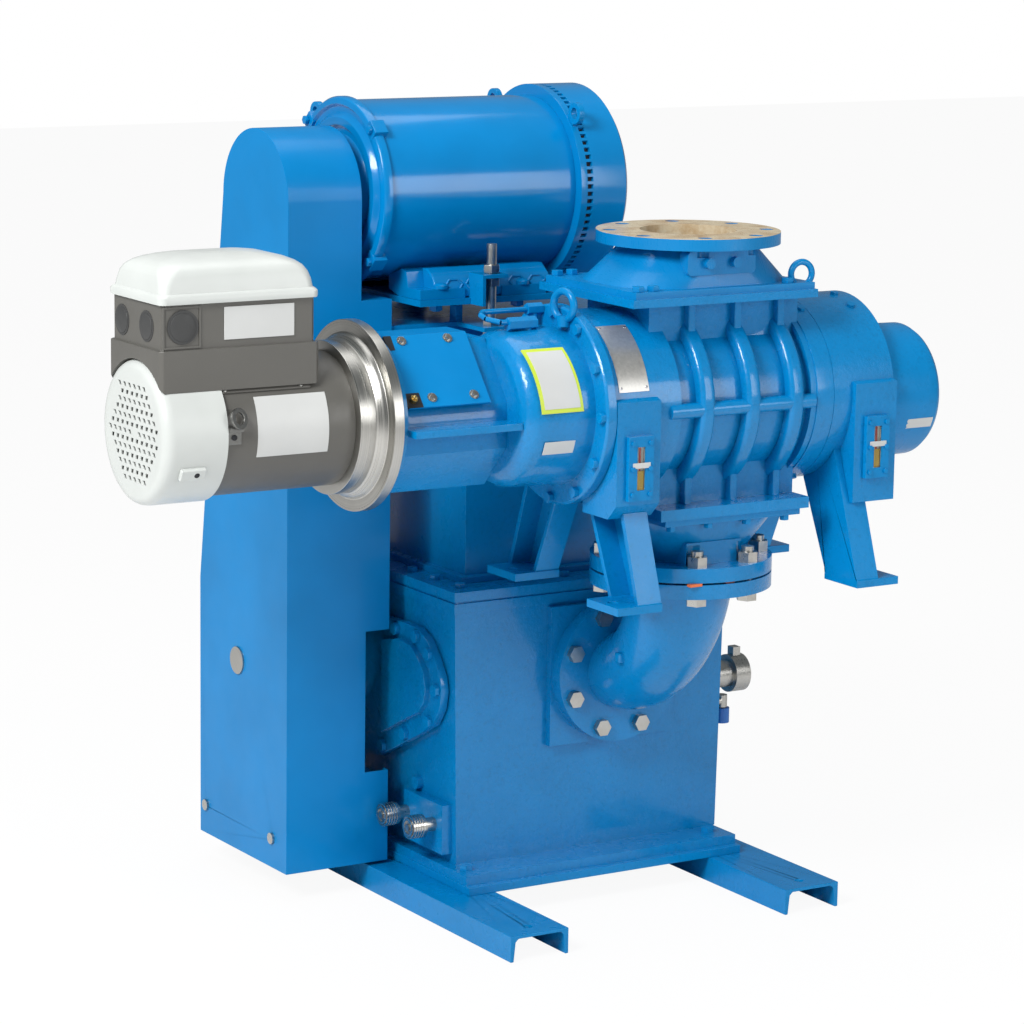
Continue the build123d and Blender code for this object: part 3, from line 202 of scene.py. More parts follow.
def bare_above(name, color, bare, height, hole, centre):
    """Cast enamel with bare machined iron above a height and inside a bore about a Z line."""
    g = Graph(name)
    g.put(Coat_Weight=0.1, Coat_Roughness=0.12, Specular_IOR_Level=0.3)
    apart = g.node("ShaderNodeSeparateXYZ")
    g.link(g.coords, apart.inputs[0])
    top = g.node("ShaderNodeMath", operation="GREATER_THAN")
    g.link(apart.outputs[2], top.inputs[0])
    top.inputs[1].default_value = height
    flat = g.node("ShaderNodeVectorMath", operation="MULTIPLY_ADD")
    flat.inputs[1].default_value = (1.0, 1.0, 0.0)
    flat.inputs[2].default_value = (-centre.x, -centre.y, 0.0)
    g.link(g.coords, flat.inputs[0])
    radius = g.node("ShaderNodeVectorMath", operation="LENGTH")
    g.link(flat.outputs[0], radius.inputs[0])
    inside = g.node("ShaderNodeMath", operation="LESS_THAN")
    g.link(radius.outputs["Value"], inside.inputs[0])
    inside.inputs[1].default_value = hole
    either = g.node("ShaderNodeMath", operation="MAXIMUM")
    g.link(top.outputs[0], either.inputs[0])
    g.link(inside.outputs[0], either.inputs[1])
    either = either.outputs[0]
    rust = g.span(g.noise(26.0, 6.0, 0.7), 0.0, 1.0, 0.42, 0.68)
    metal_colour = g.mix(rust, bare, (0.42, 0.27, 0.13))
    drift = g.span(g.noise(7.0, 3.0), 0.0, 1.0)
    colour = g.mix(either, g.mix(drift, tint(color, 0.92), tint(color, 1.06)), metal_colour)
    lines = g.span(g.noise(60.0, 6.0, 0.7, (12.0, 1.0, 1.0)), 0.22, 0.42)
    normal = g.bump(g.noise(230.0, 5.0, 0.62), 0.3, 0.0012)
    return g.finish(colour, lines, normal)


def plastic(name, color, rough=(0.32, 0.42), texture=0.25, scale=420.0):
    """Moulded or coated surface with a fine grain."""
    g = Graph(name)
    colour = g.mix(g.span(g.noise(9.0, 3.0), 0.0, 1.0), tint(color, 0.95), tint(color, 1.03))
    shine = g.span(g.noise(50.0, 3.0), *rough)
    return g.finish(colour, shine, g.bump(g.noise(scale, 3.0), texture, 0.0004))


BLUE = (0.0, 0.205, 0.5)
MATS = {
    "blue_paint": paint("blue_enamel", BLUE, cast=0.15, coat=0.25),
    "blue_cast": paint("blue_cast_enamel", BLUE, cast=1.0, rough=(0.2, 0.34), coat=0.6),
    "blue_smooth_cast": paint("blue_smooth_cast_enamel", BLUE, cast=0.35, rough=(0.2, 0.32), coat=0.5),
    "blue_sheet": paint("blue_sheet_enamel", (0.0, 0.2, 0.5), rough=(0.3, 0.4), coat=0.1),
    "blue_motor": paint("blue_motor_enamel", (0.0, 0.2, 0.5), rough=(0.16, 0.24), coat=0.55),
    "grey_alu": plastic("grey_coated_aluminium", (0.105, 0.102, 0.092), (0.34, 0.44), 0.35, 520.0),
    "grey_plastic": plastic("grey_moulded", (0.11, 0.107, 0.097), (0.38, 0.48), 0.35),
    "white_plastic": plastic("white_moulded", (0.56, 0.585, 0.565), (0.3, 0.4), 0.06),
    "stainless": turned("turned_stainless", (0.5, 0.49, 0.46), at(0, DRIVE_Y, AXIS_Z)),
    "zinc_steel": metal("zinc_plate", (0.52, 0.51, 0.48), (0.25, 0.42), stain=(0.45, 0.42, 0.36)),
    "machined_iron": metal("machined_iron", (0.42, 0.4, 0.37), (0.25, 0.4), (1.0, 1.0, 12.0),
                           (0.28, 0.25, 0.2)),
    "ground_steel": metal("ground_steel", (0.55, 0.55, 0.56), (0.16, 0.28), (14.0, 1.0, 1.0)),
    "gasket": plastic("fibre_gasket", (0.55, 0.14, 0.05), (0.6, 0.75), 0.6, 260.0),
    "belt_rubber": plastic("belt_rubber", (0.02, 0.02, 0.02), (0.6, 0.75), 0.4, 300.0),
    "knob_plastic": plastic("blue_knob", (0.01, 0.13, 0.45), (0.3, 0.4), 0.1),
}


def glass_material():
    g = Graph("sight_glass")
    g.put(Transmission_Weight=1.0, IOR=1.46, Coat_Weight=0.3)
    colour = g.mix(g.span(g.noise(30.0), 0.0, 1.0), (0.97, 0.96, 0.9), (0.93, 0.9, 0.78))
    return g.finish(colour, g.span(g.noise(40.0), 0.03, 0.08))


MATS["sight_glass"] = glass_material()
FACE_Z, BORE_R = 1.0722, 0.0738           # the inlet flange's machined face and its bore, in metres
MATS["inlet"] = bare_above("inlet_enamel_and_bare_face", BLUE, (0.62, 0.53, 0.37), FACE_Z, BORE_R,
                           at(0, 0, 0))
# near-black: the own colour of the cowl and bracket screws, and painted shade in the lantern slots and
# behind the fan slots
MATS["dark"] = plastic("black_and_painted_shade", (0.012, 0.013, 0.016), (0.6, 0.8), 0.2)
MATS["sticker"] = plastic("blank_sticker", (0.56, 0.57, 0.56), (0.36, 0.5), 0.12, 700.0)
MATS["foil"] = metal("blank_foil_plate", (0.6, 0.59, 0.56), (0.3, 0.42), (3.0, 3.0, 3.0),
                     metallic=0.75, bump=0.03)
MATS["lime"] = plastic("sticker_border", (0.55, 0.68, 0.05), (0.36, 0.5), 0.1, 700.0)
MATS["red"] = plastic("red_strip", (0.5, 0.03, 0.02), (0.3, 0.4), 0.1)
MATS["grommet"] = plastic("rubber_plug", (0.045, 0.046, 0.046), (0.45, 0.6), 0.3)
MATS["steel_plate"] = metal("dark_zinc_plate", (0.2, 0.2, 0.19), (0.3, 0.45), (4.0, 4.0, 4.0),
                            metallic=0.9, bump=0.05)
MATS["stainless_plain"] = metal("bright_cap", (0.62, 0.6, 0.56), (0.18, 0.3))
MATS["brass"] = metal("brass", (0.62, 0.44, 0.16), (0.25, 0.4))
MATS["orange"] = plastic("gasket_orange", (0.75, 0.16, 0.04), (0.4, 0.55), 0.2)
MATS["oil"] = plastic("oil_behind_glass", (0.62, 0.42, 0.06), (0.15, 0.25), 0.05)
SLOT_OF = {}
for m in RECORD["materials"]:
    for n in m.get("nodes", []):
        SLOT_OF[n] = m["slot"]

# ------------------------------------------------------------------ edges and shading of every solid
def smooth_by_angle():
    """Node group that shades a mesh smooth, apart from edges sharper than 38 degrees."""
    group = bpy.data.node_groups.new("smooth_by_angle", "GeometryNodeTree")
    group.interface.new_socket("Geometry", in_out="INPUT", socket_type="NodeSocketGeometry")
    group.interface.new_socket("Geometry", in_out="OUTPUT", socket_type="NodeSocketGeometry")
    start, end = group.nodes.new("NodeGroupInput"), group.nodes.new("NodeGroupOutput")
    smooth = group.nodes.new("GeometryNodeSetShadeSmooth")
    sharp = group.nodes.new("GeometryNodeSetShadeSmooth")
    sharp.domain = "EDGE"
    sharp.inputs["Shade Smooth"].default_value = False
    angle = group.nodes.new("GeometryNodeInputMeshEdgeAngle")
    over = group.nodes.new("FunctionNodeCompare")
    over.inputs[1].default_value = math.radians(38)
    for a, b in ((start.outputs[0], smooth.inputs[0]), (smooth.outputs[0], sharp.inputs[0]),
                 (sharp.outputs[0], end.inputs[0]), (angle.outputs[0], over.inputs[0]),
                 (over.outputs[0], sharp.inputs["Selection"])):
        group.links.new(a, b)
    return group


SMOOTH = smooth_by_angle()


def soften(o, width, segments=2):
    """Small round edges on a solid, with clean shading."""
    weld = o.modifiers.new("weld", "WELD")
    weld.merge_threshold = 1e-5
    if width:
        b = o.modifiers.new("bevel", "BEVEL")
        b.width, b.segments = width * MM, segments
        b.limit_method, b.angle_limit = "ANGLE", math.radians(40)
        b.use_clamp_overlap = True
        b.miter_outer = "MITER_ARC"
    s = o.modifiers.new("smooth", "NODES")
    s.node_group = SMOOTH
    w = o.modifiers.new("weighted", "WEIGHTED_NORMAL")
    w.keep_sharp, w.weight = True, 60


def dress(o, mat):
    o.data.materials.clear()
    o.data.materials.append(mat)


LOOK = {"booster_casing": "blue_cast", "elbow": "blue_cast", "discharge_adapter": "blue_smooth_cast",
        "inlet_adapter": "inlet", "motor_frame": "blue_motor", "drive_bell": "blue_motor",
        "fan_cover": "blue_motor"}
EDGE = {"booster_casing": 2.0, "elbow": 1.5, "belt_guard": 0.6, "skid_rails": 1.5, "bearing_cover": 2.5,
        "headplate_left": 1.5, "headplate_right": 1.5, "lantern": 2.0, "booster_legs": 1.2, "fan_cowl": 0.6,
        "drive_lid": 3.0, "drive_box": 1.5, "motor_frame": 1.2, "pump_housing": 2.0}


def prism(bm, outline, x0, x1):
    """Closed outline in (y, z) drawn out from x0 to x1."""
    a = [bm.verts.new((x0, y, z)) for y, z in outline]
    b = [bm.verts.new((x1, y, z)) for y, z in outline]
    k = len(outline)
    for i in range(k):
        bm.faces.new((a[i], a[(i + 1) % k], b[(i + 1) % k], b[i]))
    bm.faces.new(a[::-1])
    bm.faces.new(b)


def clear_webs(o):
    """Cuts the casing's outer web tips back, so the dressed ribs can run on the drum's own circle."""
    bm = bmesh.new()
    for side in (-1, 1):
        for up, face in ((1, 976.8), (-1, 672.6)):
            arc = [math.radians(54.6 - 1.4 * k) for k in range(17)]
            outline = [(side * 85, face), (side * 126, face)]
            outline += [(side * WEB_CUT_R * math.cos(t), AXIS_Z + up * WEB_CUT_R * math.sin(t))
                        for t in arc[::-1]]
            for x in RIB_X:
                prism(bm, outline, x - 9, x + 9)
    for v in bm.verts:
        v.co = at(*v.co)
    bmesh.ops.recalc_face_normals(bm, faces=bm.faces)
    mesh = bpy.data.meshes.new("web_cutter")
    bm.to_mesh(mesh)
    bm.free()
    cutter = bpy.data.objects.new("web_cutter", mesh)
    bpy.context.scene.collection.objects.link(cutter)
    cut = o.modifiers.new("clear_webs", "BOOLEAN")
    cut.operation, cut.solver, cut.object = "DIFFERENCE", "EXACT", cutter
    bpy.context.view_layer.update()
    done = bpy.data.meshes.new_from_object(o.evaluated_get(bpy.context.evaluated_depsgraph_get()))
    o.modifiers.remove(cut)
    bpy.data.objects.remove(cutter)
    return done


for name, o in NODES.items():
    slot = SLOT_OF.get(name) or o.data.materials[0].name.split(".")[0]
    dress(o, MATS.get(LOOK.get(name, slot), MATS["blue_paint"]))
    soften(o, EDGE.get(name, 0.8))

# ------------------------------------------------------------------ mesh helpers, all lengths in mm


def place(bm, name, mat, body="package", edge=0.0, segments=2):
    """Makes the piece from a mesh in mm about the inlet axis, with its material and body."""
    for v in bm.verts:
        v.co = at(*v.co)
    bmesh.ops.recalc_face_normals(bm, faces=bm.faces)
    mesh = bpy.data.meshes.new(name)
    bm.to_mesh(mesh)
    bm.free()
    mesh.materials.append(MATS[mat])
    o = bpy.data.objects.new(name, mesh)
    bpy.context.scene.collection.objects.link(o)
    soften(o, edge, segments)
    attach(o, body)
    return o


def add_box(bm, x0, x1, y0, y1, z0, z1, turn=None):
    vs = [bm.verts.new((x, y, z)) for x in (x0, x1) for y in (y0, y1) for z in (z0, z1)]
    for f in ((0, 1, 3, 2), (4, 6, 7, 5), (0, 4, 5, 1), (2, 3, 7, 6), (0, 2, 6, 4), (1, 5, 7, 3)):
        bm.faces.new([vs[i] for i in f])
    if turn:
        bmesh.ops.transform(bm, matrix=turn, verts=vs)


def ring_points(n, r):
    """Points round a circle of radius r."""
    turns = [2 * math.pi * i / n for i in range(n)]
    return [(r * math.cos(a), r * math.sin(a)) for a in turns]


def add_lathe(bm, profile, y, z, n=96):
    """Closed profile of (x, radius) turned about the X line through y, z."""
    rings = []
    for x, r in profile:
        rings.append([bm.verts.new((x, y + r * c, z + r * s)) for c, s in ring_points(n, 1.0)])
    for a, b in zip(rings, rings[1:] + rings[:1]):
        for i in range(n):
            bm.faces.new((a[i], a[(i + 1) % n], b[(i + 1) % n], b[i]))


def add_disc(bm, centre, axis, r, h, n=24, dome=0.0):
    """Short rod from centre along axis, optionally with a domed end."""
    q = Vector(axis).normalized().to_track_quat("Z", "Y").to_matrix().to_4x4()
    m = Matrix.Translation(centre) @ q
    steps = [(0.0, r), (h, r)]
    if dome:
        steps = [(0.0, r), (h - dome, r), (h - 0.3 * dome, 0.72 * r), (h, 0.3 * r)]
    rings = [[bm.verts.new(m @ Vector((x * k, y * k, t))) for x, y in ring_points(n, 1.0)]
             for t, k in steps]
    for a, b in zip(rings, rings[1:]):
        for i in range(n):
            bm.faces.new((a[i], a[(i + 1) % n], b[(i + 1) % n], b[i]))
    bm.faces.new(rings[0][::-1])
    bm.faces.new(rings[-1])


def add_patch(bm, y, z, r, x0, x1, a0, a1, thick, lean=0.0, n=16):
    """Thin plate lying on a cylinder about an X line: angles in degrees up from the front."""
    rows = []
    for k in range(n + 1):
        a = math.radians(a0 + (a1 - a0) * k / n)
        dx = lean * (k / n - 0.5)
        rows.append([bm.verts.new((x + dx, y - q * math.cos(a), z + q * math.sin(a)))
                     for x, q in ((x0, r), (x1, r), (x1, r + thick), (x0, r + thick))])
    for a, b in zip(rows, rows[1:]):
        for i in range(4):
            bm.faces.new((a[i], a[(i + 1) % 4], b[(i + 1) % 4], b[i]))
    bm.faces.new(rows[0][::-1])
    bm.faces.new(rows[-1])


def add_sweep(bm, path, x, width, height, corner, n=5):
    """Round-cornered bar swept along (y, z) points in a plane across X."""
    section = []
    for sx, sh, first in ((1, 1, 0), (-1, 1, 90), (-1, -1, 180), (1, -1, 270)):
        for i in range(n + 1):
            a = math.radians(first + 90 * i / n)
            section.append((sx * (width / 2 - corner) + corner * math.cos(a),
                            sh * (height / 2 - corner) + corner * math.sin(a)))
    rings = []
    for i, (y, z) in enumerate(path):
        a, b = path[max(0, i - 1)], path[min(len(path) - 1, i + 1)]
        t = Vector((b[0] - a[0], b[1] - a[1])).normalized()
        rings.append([bm.verts.new((x + u, y + v * t[1], z - v * t[0])) for u, v in section])
    k = len(section)
    for a, b in zip(rings, rings[1:]):
        for i in range(k):
            bm.faces.new((a[i], a[(i + 1) % k], b[(i + 1) % k], b[i]))
    bm.faces.new(rings[0][::-1])
    bm.faces.new(rings[-1])


def hex_head(bm, centre, axis, flat, h):
    add_disc(bm, centre, axis, flat / math.sqrt(3), h, 6)


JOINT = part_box("joint_gasket")[0][2] / MM

# ------------------------------------------------------------------ booster details
def rib_path(side):
    """Front or back rib line, on the drum's own circle up to both necks."""
    turns = [math.radians(66 - 4 * k) for k in range(34)]
    return [(-side * RIB_LINE_R * math.cos(a), AXIS_Z + RIB_LINE_R * math.sin(a)) for a in turns]


casing_mesh = clear_webs(NODES["booster_casing"])
casing = bpy.data.objects.new("casing_shell", casing_mesh)
casing.matrix_world = NODES["booster_casing"].matrix_world.copy()
bpy.context.scene.collection.objects.link(casing)
dress(casing, MATS["blue_cast"])
soften(casing, 2.0)
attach(casing, "package")
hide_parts("booster_casing")

for k, x in enumerate(RIB_X):
    for side, word in ((1, "front"), (-1, "back")):
        bm = bmesh.new()
        path = rib_path(side)
        add_sweep(bm, path if side > 0 else path[::-1], x, RIB_WIDTH, RIB_HEIGHT, RIB_CORNER)
        place(bm, "casing_rib_%s_%d" % (word, k), "blue_cast")
    bm = bmesh.new()
    for side in (-1, 1):
        for flange, outer, inner in ((978, 928, 934), (671, 716, 710)):
            outline = [(83, flange), (97, flange), (97, outer), (83, inner)]
            prism(bm, [(side * y, z) for y, z in outline], x - WEB_T / 2, x + WEB_T / 2)
    place(bm, "casing_webs_%d" % k, "blue_cast", edge=2.0, segments=3)
bm = bmesh.new()
for side in (-1, 1):
    add_disc(bm, (-119.5, side * 135.5, 821), (1, 0, 0), 11.5, 261, 28)
place(bm, "casing_bars", "blue_cast")

bm = bmesh.new()
add_patch(bm, 0, AXIS_Z, 117.6, -333, -262, 4, 54, 2.2, lean=-8)
place(bm, "dome_sticker_border", "lime")
bm = bmesh.new()
add_patch(bm, 0, AXIS_Z, 118.4, -328, -267, 7, 51, 1.9, lean=-7)
place(bm, "dome_sticker", "sticker")
bm = bmesh.new()
add_patch(bm, 0, AXIS_Z, 140.0, -208, -156, 14, 61, 0.9)
place(bm, "booster_plate", "foil")
bm = bmesh.new()
for x, a in ((-204, 16.5), (-160, 16.5), (-204, 58.5), (-160, 58.5)):
    c, s = math.cos(math.radians(a)), math.sin(math.radians(a))
    add_disc(bm, (x, -140.6 * c, AXIS_Z + 140.6 * s), (0, -c, s), 2.2, 1.6, 12, 1.0)
place(bm, "booster_plate_rivets", "ground_steel")
bm = bmesh.new()
add_patch(bm, 0, AXIS_Z, 118.0, -320, -268, -27, -17, 0.9)
place(bm, "dome_tag", "sticker")
bm = bmesh.new()
add_patch(bm, -32, 810, 103.2, 328, 377, -27, -18, 0.9)
place(bm, "cap_tag", "sticker")

SIGHTS = ((-181.0, 745.0), (251.0, 745.0))
for k, (x, z) in enumerate(SIGHTS):
    bm = bmesh.new()
    add_box(bm, x - 6.6, x + 6.6, -150.4, -149.4, z - 31.6, z + 31.6)
    place(bm, "sight_back_%d" % k, "sticker")
    bm = bmesh.new()
    add_box(bm, x - 1.6, x + 1.6, -151.2, -150.2, z - 31.0, z + 31.0)
    place(bm, "sight_line_%d" % k, "red")
    bm = bmesh.new()
    add_box(bm, x - 6.5, x + 6.5, -152.0, -150.3, z - 31.5, z - 4.0)
    place(bm, "sight_oil_%d" % k, "oil")
    bm = bmesh.new()
    add_box(bm, x - 15, x + 15, -159.6, -157.4, z + 1, z + 9)
    place(bm, "sight_band_%d" % k, "sticker", edge=0.3)
    bm = bmesh.new()
    for sx in (-1, 1):
        for dz in (-38, 0, 38):
            hex_head(bm, (x + sx * 15, -158.0, z + dz), (0, -1, 0), 7.0, 3.2)
    place(bm, "sight_screws_%d" % k, "blue_paint", edge=0.4)

# lantern: cover screws, the two open slots by the ring drawn as thin near-black sheets of painted shade,
# and a grease fitting


def on_cover(x, t, lift):
    """Point on the sloping cover face, t from its low edge to its high edge."""
    n = Vector((0.0, -94.0, 76.0)).normalized()
    return Vector((x, -70 + 76 * t, 846 + 94 * t)) + lift * n, n


bm = bmesh.new()
for x, t in ((-480, 0.12), (-410, 0.12), (-497, 0.92), (-420, 0.92)):
    p, n = on_cover(x, t, -0.5)
    add_disc(bm, p, n, 7.5, 2.0, 24)
    add_disc(bm, p, n, 5.2, 5.6, 6)
place(bm, "lantern_cover_screws", "zinc_steel", edge=0.5)
# slots: near-black sheets flush with the cover face, painted shade standing in for the openings
bm = bmesh.new()
for t0, t1, x1 in ((0.0, 0.2, -499), (0.8, 1.0, -512)):
    rows = []
    for t, lift in ((t0, -2.0), (t1, -2.0), (t1, 0.45), (t0, 0.45)):
        rows.append([bm.verts.new(on_cover(x, t, lift)[0]) for x in (-524, x1)])
    for a, b in zip(rows, rows[1:] + rows[:1]):
        bm.faces.new((a[0], a[1], b[1], b[0]))
    for k in (0, 1):
        bm.faces.new([r[k] for r in rows])
place(bm, "lantern_slot_painted_shade", "dark")
bm = bmesh.new()
p, n = on_cover(-513, 0.1, 0.3)
add_disc(bm, p, n, 6.0, 7.0, 6)
add_disc(bm, p + 7.0 * n, n, 3.2, 4.0, 16, 1.0)
place(bm, "lantern_grease_fitting", "brass", edge=0.4)

# gear cover rim bolts
bm = bmesh.new()
for x in (168.0, 262.0):
    for a in (64, 82, 112, -68, -90, -112):
        c, q = math.cos(math.radians(a)), math.sin(math.radians(a))
        add_disc(bm, (x, -139 * c, AXIS_Z + 139 * q), (0, -c, q), 9.0, 2.2, 24)
        hex_head(bm, (x, -140.5 * c, AXIS_Z + 140.5 * q), (0, -c, q), 12.0, 6.0)
place(bm, "gear_cover_bolts", "blue_paint", edge=0.6)

# ------------------------------------------------------------------ booster motor details
BM_AXIS = (DRIVE_Y, AXIS_Z)
bm = bmesh.new()
add_lathe(bm, [(-817.6, 98.4), (-806, 98.6), (-806, 104), (-886, 104), (-893, 103), (-898.5, 100),
               (-902, 95.5), (-903.2, 91), (-903.2, 86), (-900, 86), (-900, 90), (-898, 94), (-895, 97),
               (-890, 99.5), (-884, 101), (-817.6, 101)], *BM_AXIS)
cowl = place(bm, "cowl_shell", "white_plastic")
bm = bmesh.new()
BOSS_TURN = Matrix.Rotation(math.radians(27), 4, "X")
add_box(bm, -15, 24, -110, -98, -9, 9, Matrix.Translation((-862, *BM_AXIS)) @ BOSS_TURN)
place(bm, "cowl_boss", "white_plastic", edge=2.0, segments=3)
bm = bmesh.new()
screw = Matrix.Translation((-858, *BM_AXIS)) @ BOSS_TURN
add_disc(bm, screw @ Vector((6, -109.2, 0)), screw.to_3x3() @ Vector((0, -1, 0)), 4.2, 1.4, 20, 0.6)
place(bm, "cowl_screw", "dark")


def cowl_grille():
    """End disc of the cowl with its hexagonal field of slots, as a filled outline with holes."""
    curve = bpy.data.curves.new("cowl_grille", "CURVE")
    curve.dimensions, curve.fill_mode = "2D", "BOTH"
    curve.extrude, curve.bevel_depth, curve.bevel_resolution = 1.1 * MM, 0.4 * MM, 1

    def loop(pts):
        sp = curve.splines.new("POLY")
        sp.points.add(len(pts) - 1)
        for p, (u, v) in zip(sp.points, pts):
            p.co = (u * MM, v * MM, 0.0, 1.0)
        sp.use_cyclic_u = True

    loop(ring_points(96, 88.0))
    pitch, row = 15.5, 11.0
    for j in range(-8, 9):
        for i in range(-6, 7):
            u, v = i * pitch + (j % 2) * pitch / 2 + 4, j * row
            reach = max(abs(v - 2) * 0.98, abs(v - 2) / 2 + abs(u - 4) * 0.866)
            if reach > 73 or math.hypot(u - 4, v) < 8 or math.hypot(u, v) > 80:
                continue
            lean = 1.6 if (j % 2) else -1.6
            loop([(u - 4.6 + lean, v + 3.4), (u + 4.2 + lean, v + 3.4),
                  (u + 5.0 - lean, v - 3.4), (u - 4.2 - lean, v - 3.4)])
    o = bpy.data.objects.new("cowl_grille", curve)
    facing = Matrix(((0, 0, -1, 0), (-1, 0, 0, 0), (0, 1, 0, 0), (0, 0, 0, 1)))
    o.matrix_world = Matrix.Translation(at(-901.6, *BM_AXIS)) @ facing
    bpy.context.scene.collection.objects.link(o)
    bpy.context.view_layer.update()
    mesh = bpy.data.meshes.new_from_object(o.evaluated_get(bpy.context.evaluated_depsgraph_get()))
    mesh.transform(o.matrix_world)
    bpy.data.objects.remove(o)
    mesh.name = "cowl_grille"
    mesh.materials.clear()
    mesh.materials.append(MATS["white_plastic"])
    piece = bpy.data.objects.new("cowl_grille", mesh)
    bpy.context.scene.collection.objects.link(piece)
    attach(piece, "package")


cowl_grille()
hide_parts("fan_cowl")
bm = bmesh.new()
add_lathe(bm, [(-894, 2), (-894, 93), (-891, 93), (-891, 2)], *BM_AXIS, n=48)
place(bm, "cowl_guard_felt", "grey_plastic")

bm = bmesh.new()
add_patch(bm, *BM_AXIS, 98.0, -757, -644, -19, 32, 0.7, n=24)
place(bm, "booster_motor_plate", "sticker")
bm = bmesh.new()
add_patch(bm, *BM_AXIS, 98.0, -826, -784, -6, 7, 3.4, n=6)
place(bm, "booster_motor_bracket", "steel_plate", edge=1.0)
bm = bmesh.new()
for u in (-816, -796):
    add_disc(bm, (u, DRIVE_Y - 101.4, AXIS_Z), (0, -1, 0), 4.2, 2.2, 16, 0.8)
place(bm, "bracket_screws", "dark")


def ring_plate(name, centre, normal, outer, hole, thick, mat):
    """Flat eye plate with rounded rims."""
    bm = bmesh.new()
    steps = [(hole, -thick / 2), (hole, thick / 2), (outer, thick / 2), (outer, -thick / 2)]
    q = Vector(normal).normalized().to_track_quat("X", "Z").to_matrix().to_4x4()
    m = Matrix.Translation(centre) @ q
    n = 40
    rings = [[bm.verts.new(m @ Vector((t, y * r, z * r))) for y, z in ring_points(n, 1.0)]
             for r, t in steps]
    for a, b in zip(rings, rings[1:] + rings[:1]):
        for i in range(n):
            bm.faces.new((a[i], a[(i + 1) % n], b[(i + 1) % n], b[i]))
    place(bm, name, mat, edge=1.0)


def rod_ring(bm, centre, normal, big, small, n=40, m=14):
    """Forged ring of round section."""
    turn = Vector(normal).normalized().to_track_quat("Z", "Y").to_matrix().to_4x4()
    q = Matrix.Translation(centre) @ turn
    rings = []
    for i in range(n):
        a = 2 * math.pi * i / n
        rings.append([bm.verts.new(q @ Vector(((big + u) * math.cos(a), (big + u) * math.sin(a), w)))
                      for u, w in ring_points(m, small)])
    for a, b in zip(rings, rings[1:] + rings[:1]):
        for i in range(m):
            bm.faces.new((a[i], a[(i + 1) % m], b[(i + 1) % m], b[i]))


ring_plate("bracket_eye", (-791, DRIVE_Y - 106.5, AXIS_Z + 27), (0.35, -1.0, 0.3), 15.5, 8.5, 4.0,
           "steel_plate")
bm = bmesh.new()
add_box(bm, -806, -782, DRIVE_Y - 107, DRIVE_Y - 100, AXIS_Z + 8, AXIS_Z + 15)
place(bm, "bracket_neck", "steel_plate", edge=1.5)
bm = bmesh.new()
add_patch(bm, *BM_AXIS, 97.6, -816, -664, 36.5, 47, 3.6, n=10)
place(bm, "motor_saddle_lip", "grey_plastic", edge=1.2)
bm = bmesh.new()
a = math.radians(39.5)
for u in (-800, -680):
    add_disc(bm, (u, DRIVE_Y - 101 * math.cos(a), AXIS_Z + 101 * math.sin(a)), (0, -0.77, 0.64),
             4.0, 2.4, 16, 0.8)
place(bm, "saddle_screws", "zinc_steel")

bm = bmesh.new()
rod_ring(bm, (-243, -36, 975), (0.978, 0.208, 0.0), 21.0, 5.8)
add_disc(bm, (-243, -36, 944), (0, 0, 1), 10.5, 16, 24)
rod_ring(bm, (134, -108, 1010.5), (0.1, 1.0, 0.0), 18.0, 4.8)
add_disc(bm, (134, -108, 986.5), (0, 0, 1), 12.0, 6.5, 28)
eyes = place(bm, "lifting_rings", "blue_paint")
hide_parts("lifting_eyes")

bm = bmesh.new()
add_box(bm, -800, -690, -34.2, -33.2, 957, 1003)
place(bm, "drive_box_plate", "sticker", edge=0.3)
bm = bmesh.new()
add_disc(bm, (-864.0, -33.4, 978), (0, -1, 0), 24, 1.5, 40)
add_disc(bm, (-864.0, -34.6, 978), (0, -1, 0), 20, 3.4, 40, 2.4)
for cy in (92.0, 14.0):
    add_disc(bm, (-895.6, cy, 976), (-1, 0, 0), 22, 1.5, 40)
    add_disc(bm, (-896.8, cy, 976), (-1, 0, 0), 18.5, 3.2, 40, 2.2)
place(bm, "drive_box_plugs", "grommet", edge=0.5)
bm = bmesh.new()
for x0, x1, z0, z1 in ((-893, -838, 948, 951), (-893, -838, 1004, 1007),
                       (-895, -892, 948, 1007), (-839, -836, 948, 1007)):
    add_box(bm, x0, x1, -34.6, -32.8, z0, z1)
place(bm, "drive_box_bezel", "grey_plastic", edge=0.5)

bm = bmesh.new()
# rounded rectangles from the lid's rim to its crown: height, half length, half width, corner, middle X
LID = ((1009.8, 124.2, 83.2, 10, -776), (1013, 125, 84, 11, -776), (1019, 125, 84, 11, -776),
       (1022, 123, 82, 12, -776), (1024, 120.5, 79.5, 14, -776), (1036, 119, 78, 16, -776),
       (1046, 117, 76, 20, -776.5), (1054, 113, 72, 24, -777), (1060, 106, 65, 26, -778),
       (1065, 95, 55, 26, -779), (1069, 80, 42, 24, -780), (1072, 60, 28, 20, -781),
       (1073.6, 34, 14, 10, -782))
rings = []
for z, hx, hy, r, cx in LID:
    ring = []
    for sx, sy, first in ((1, 1, 0), (-1, 1, 90), (-1, -1, 180), (1, -1, 270)):
        for k in range(7):
            a = math.radians(first + 15 * k)
            ring.append(bm.verts.new((cx + sx * (hx - r) + r * math.cos(a),
                                      DRIVE_Y + sy * (hy - r) + r * math.sin(a), z)))
    rings.append(ring)
for a, b in zip(rings, rings[1:]):
    for i in range(28):
        bm.faces.new((a[i], a[(i + 1) % 28], b[(i + 1) % 28], b[i]))
bm.faces.new(rings[0][::-1])
bm.faces.new(rings[-1])
lid = place(bm, "box_lid", "white_plastic")
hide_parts("drive_lid")

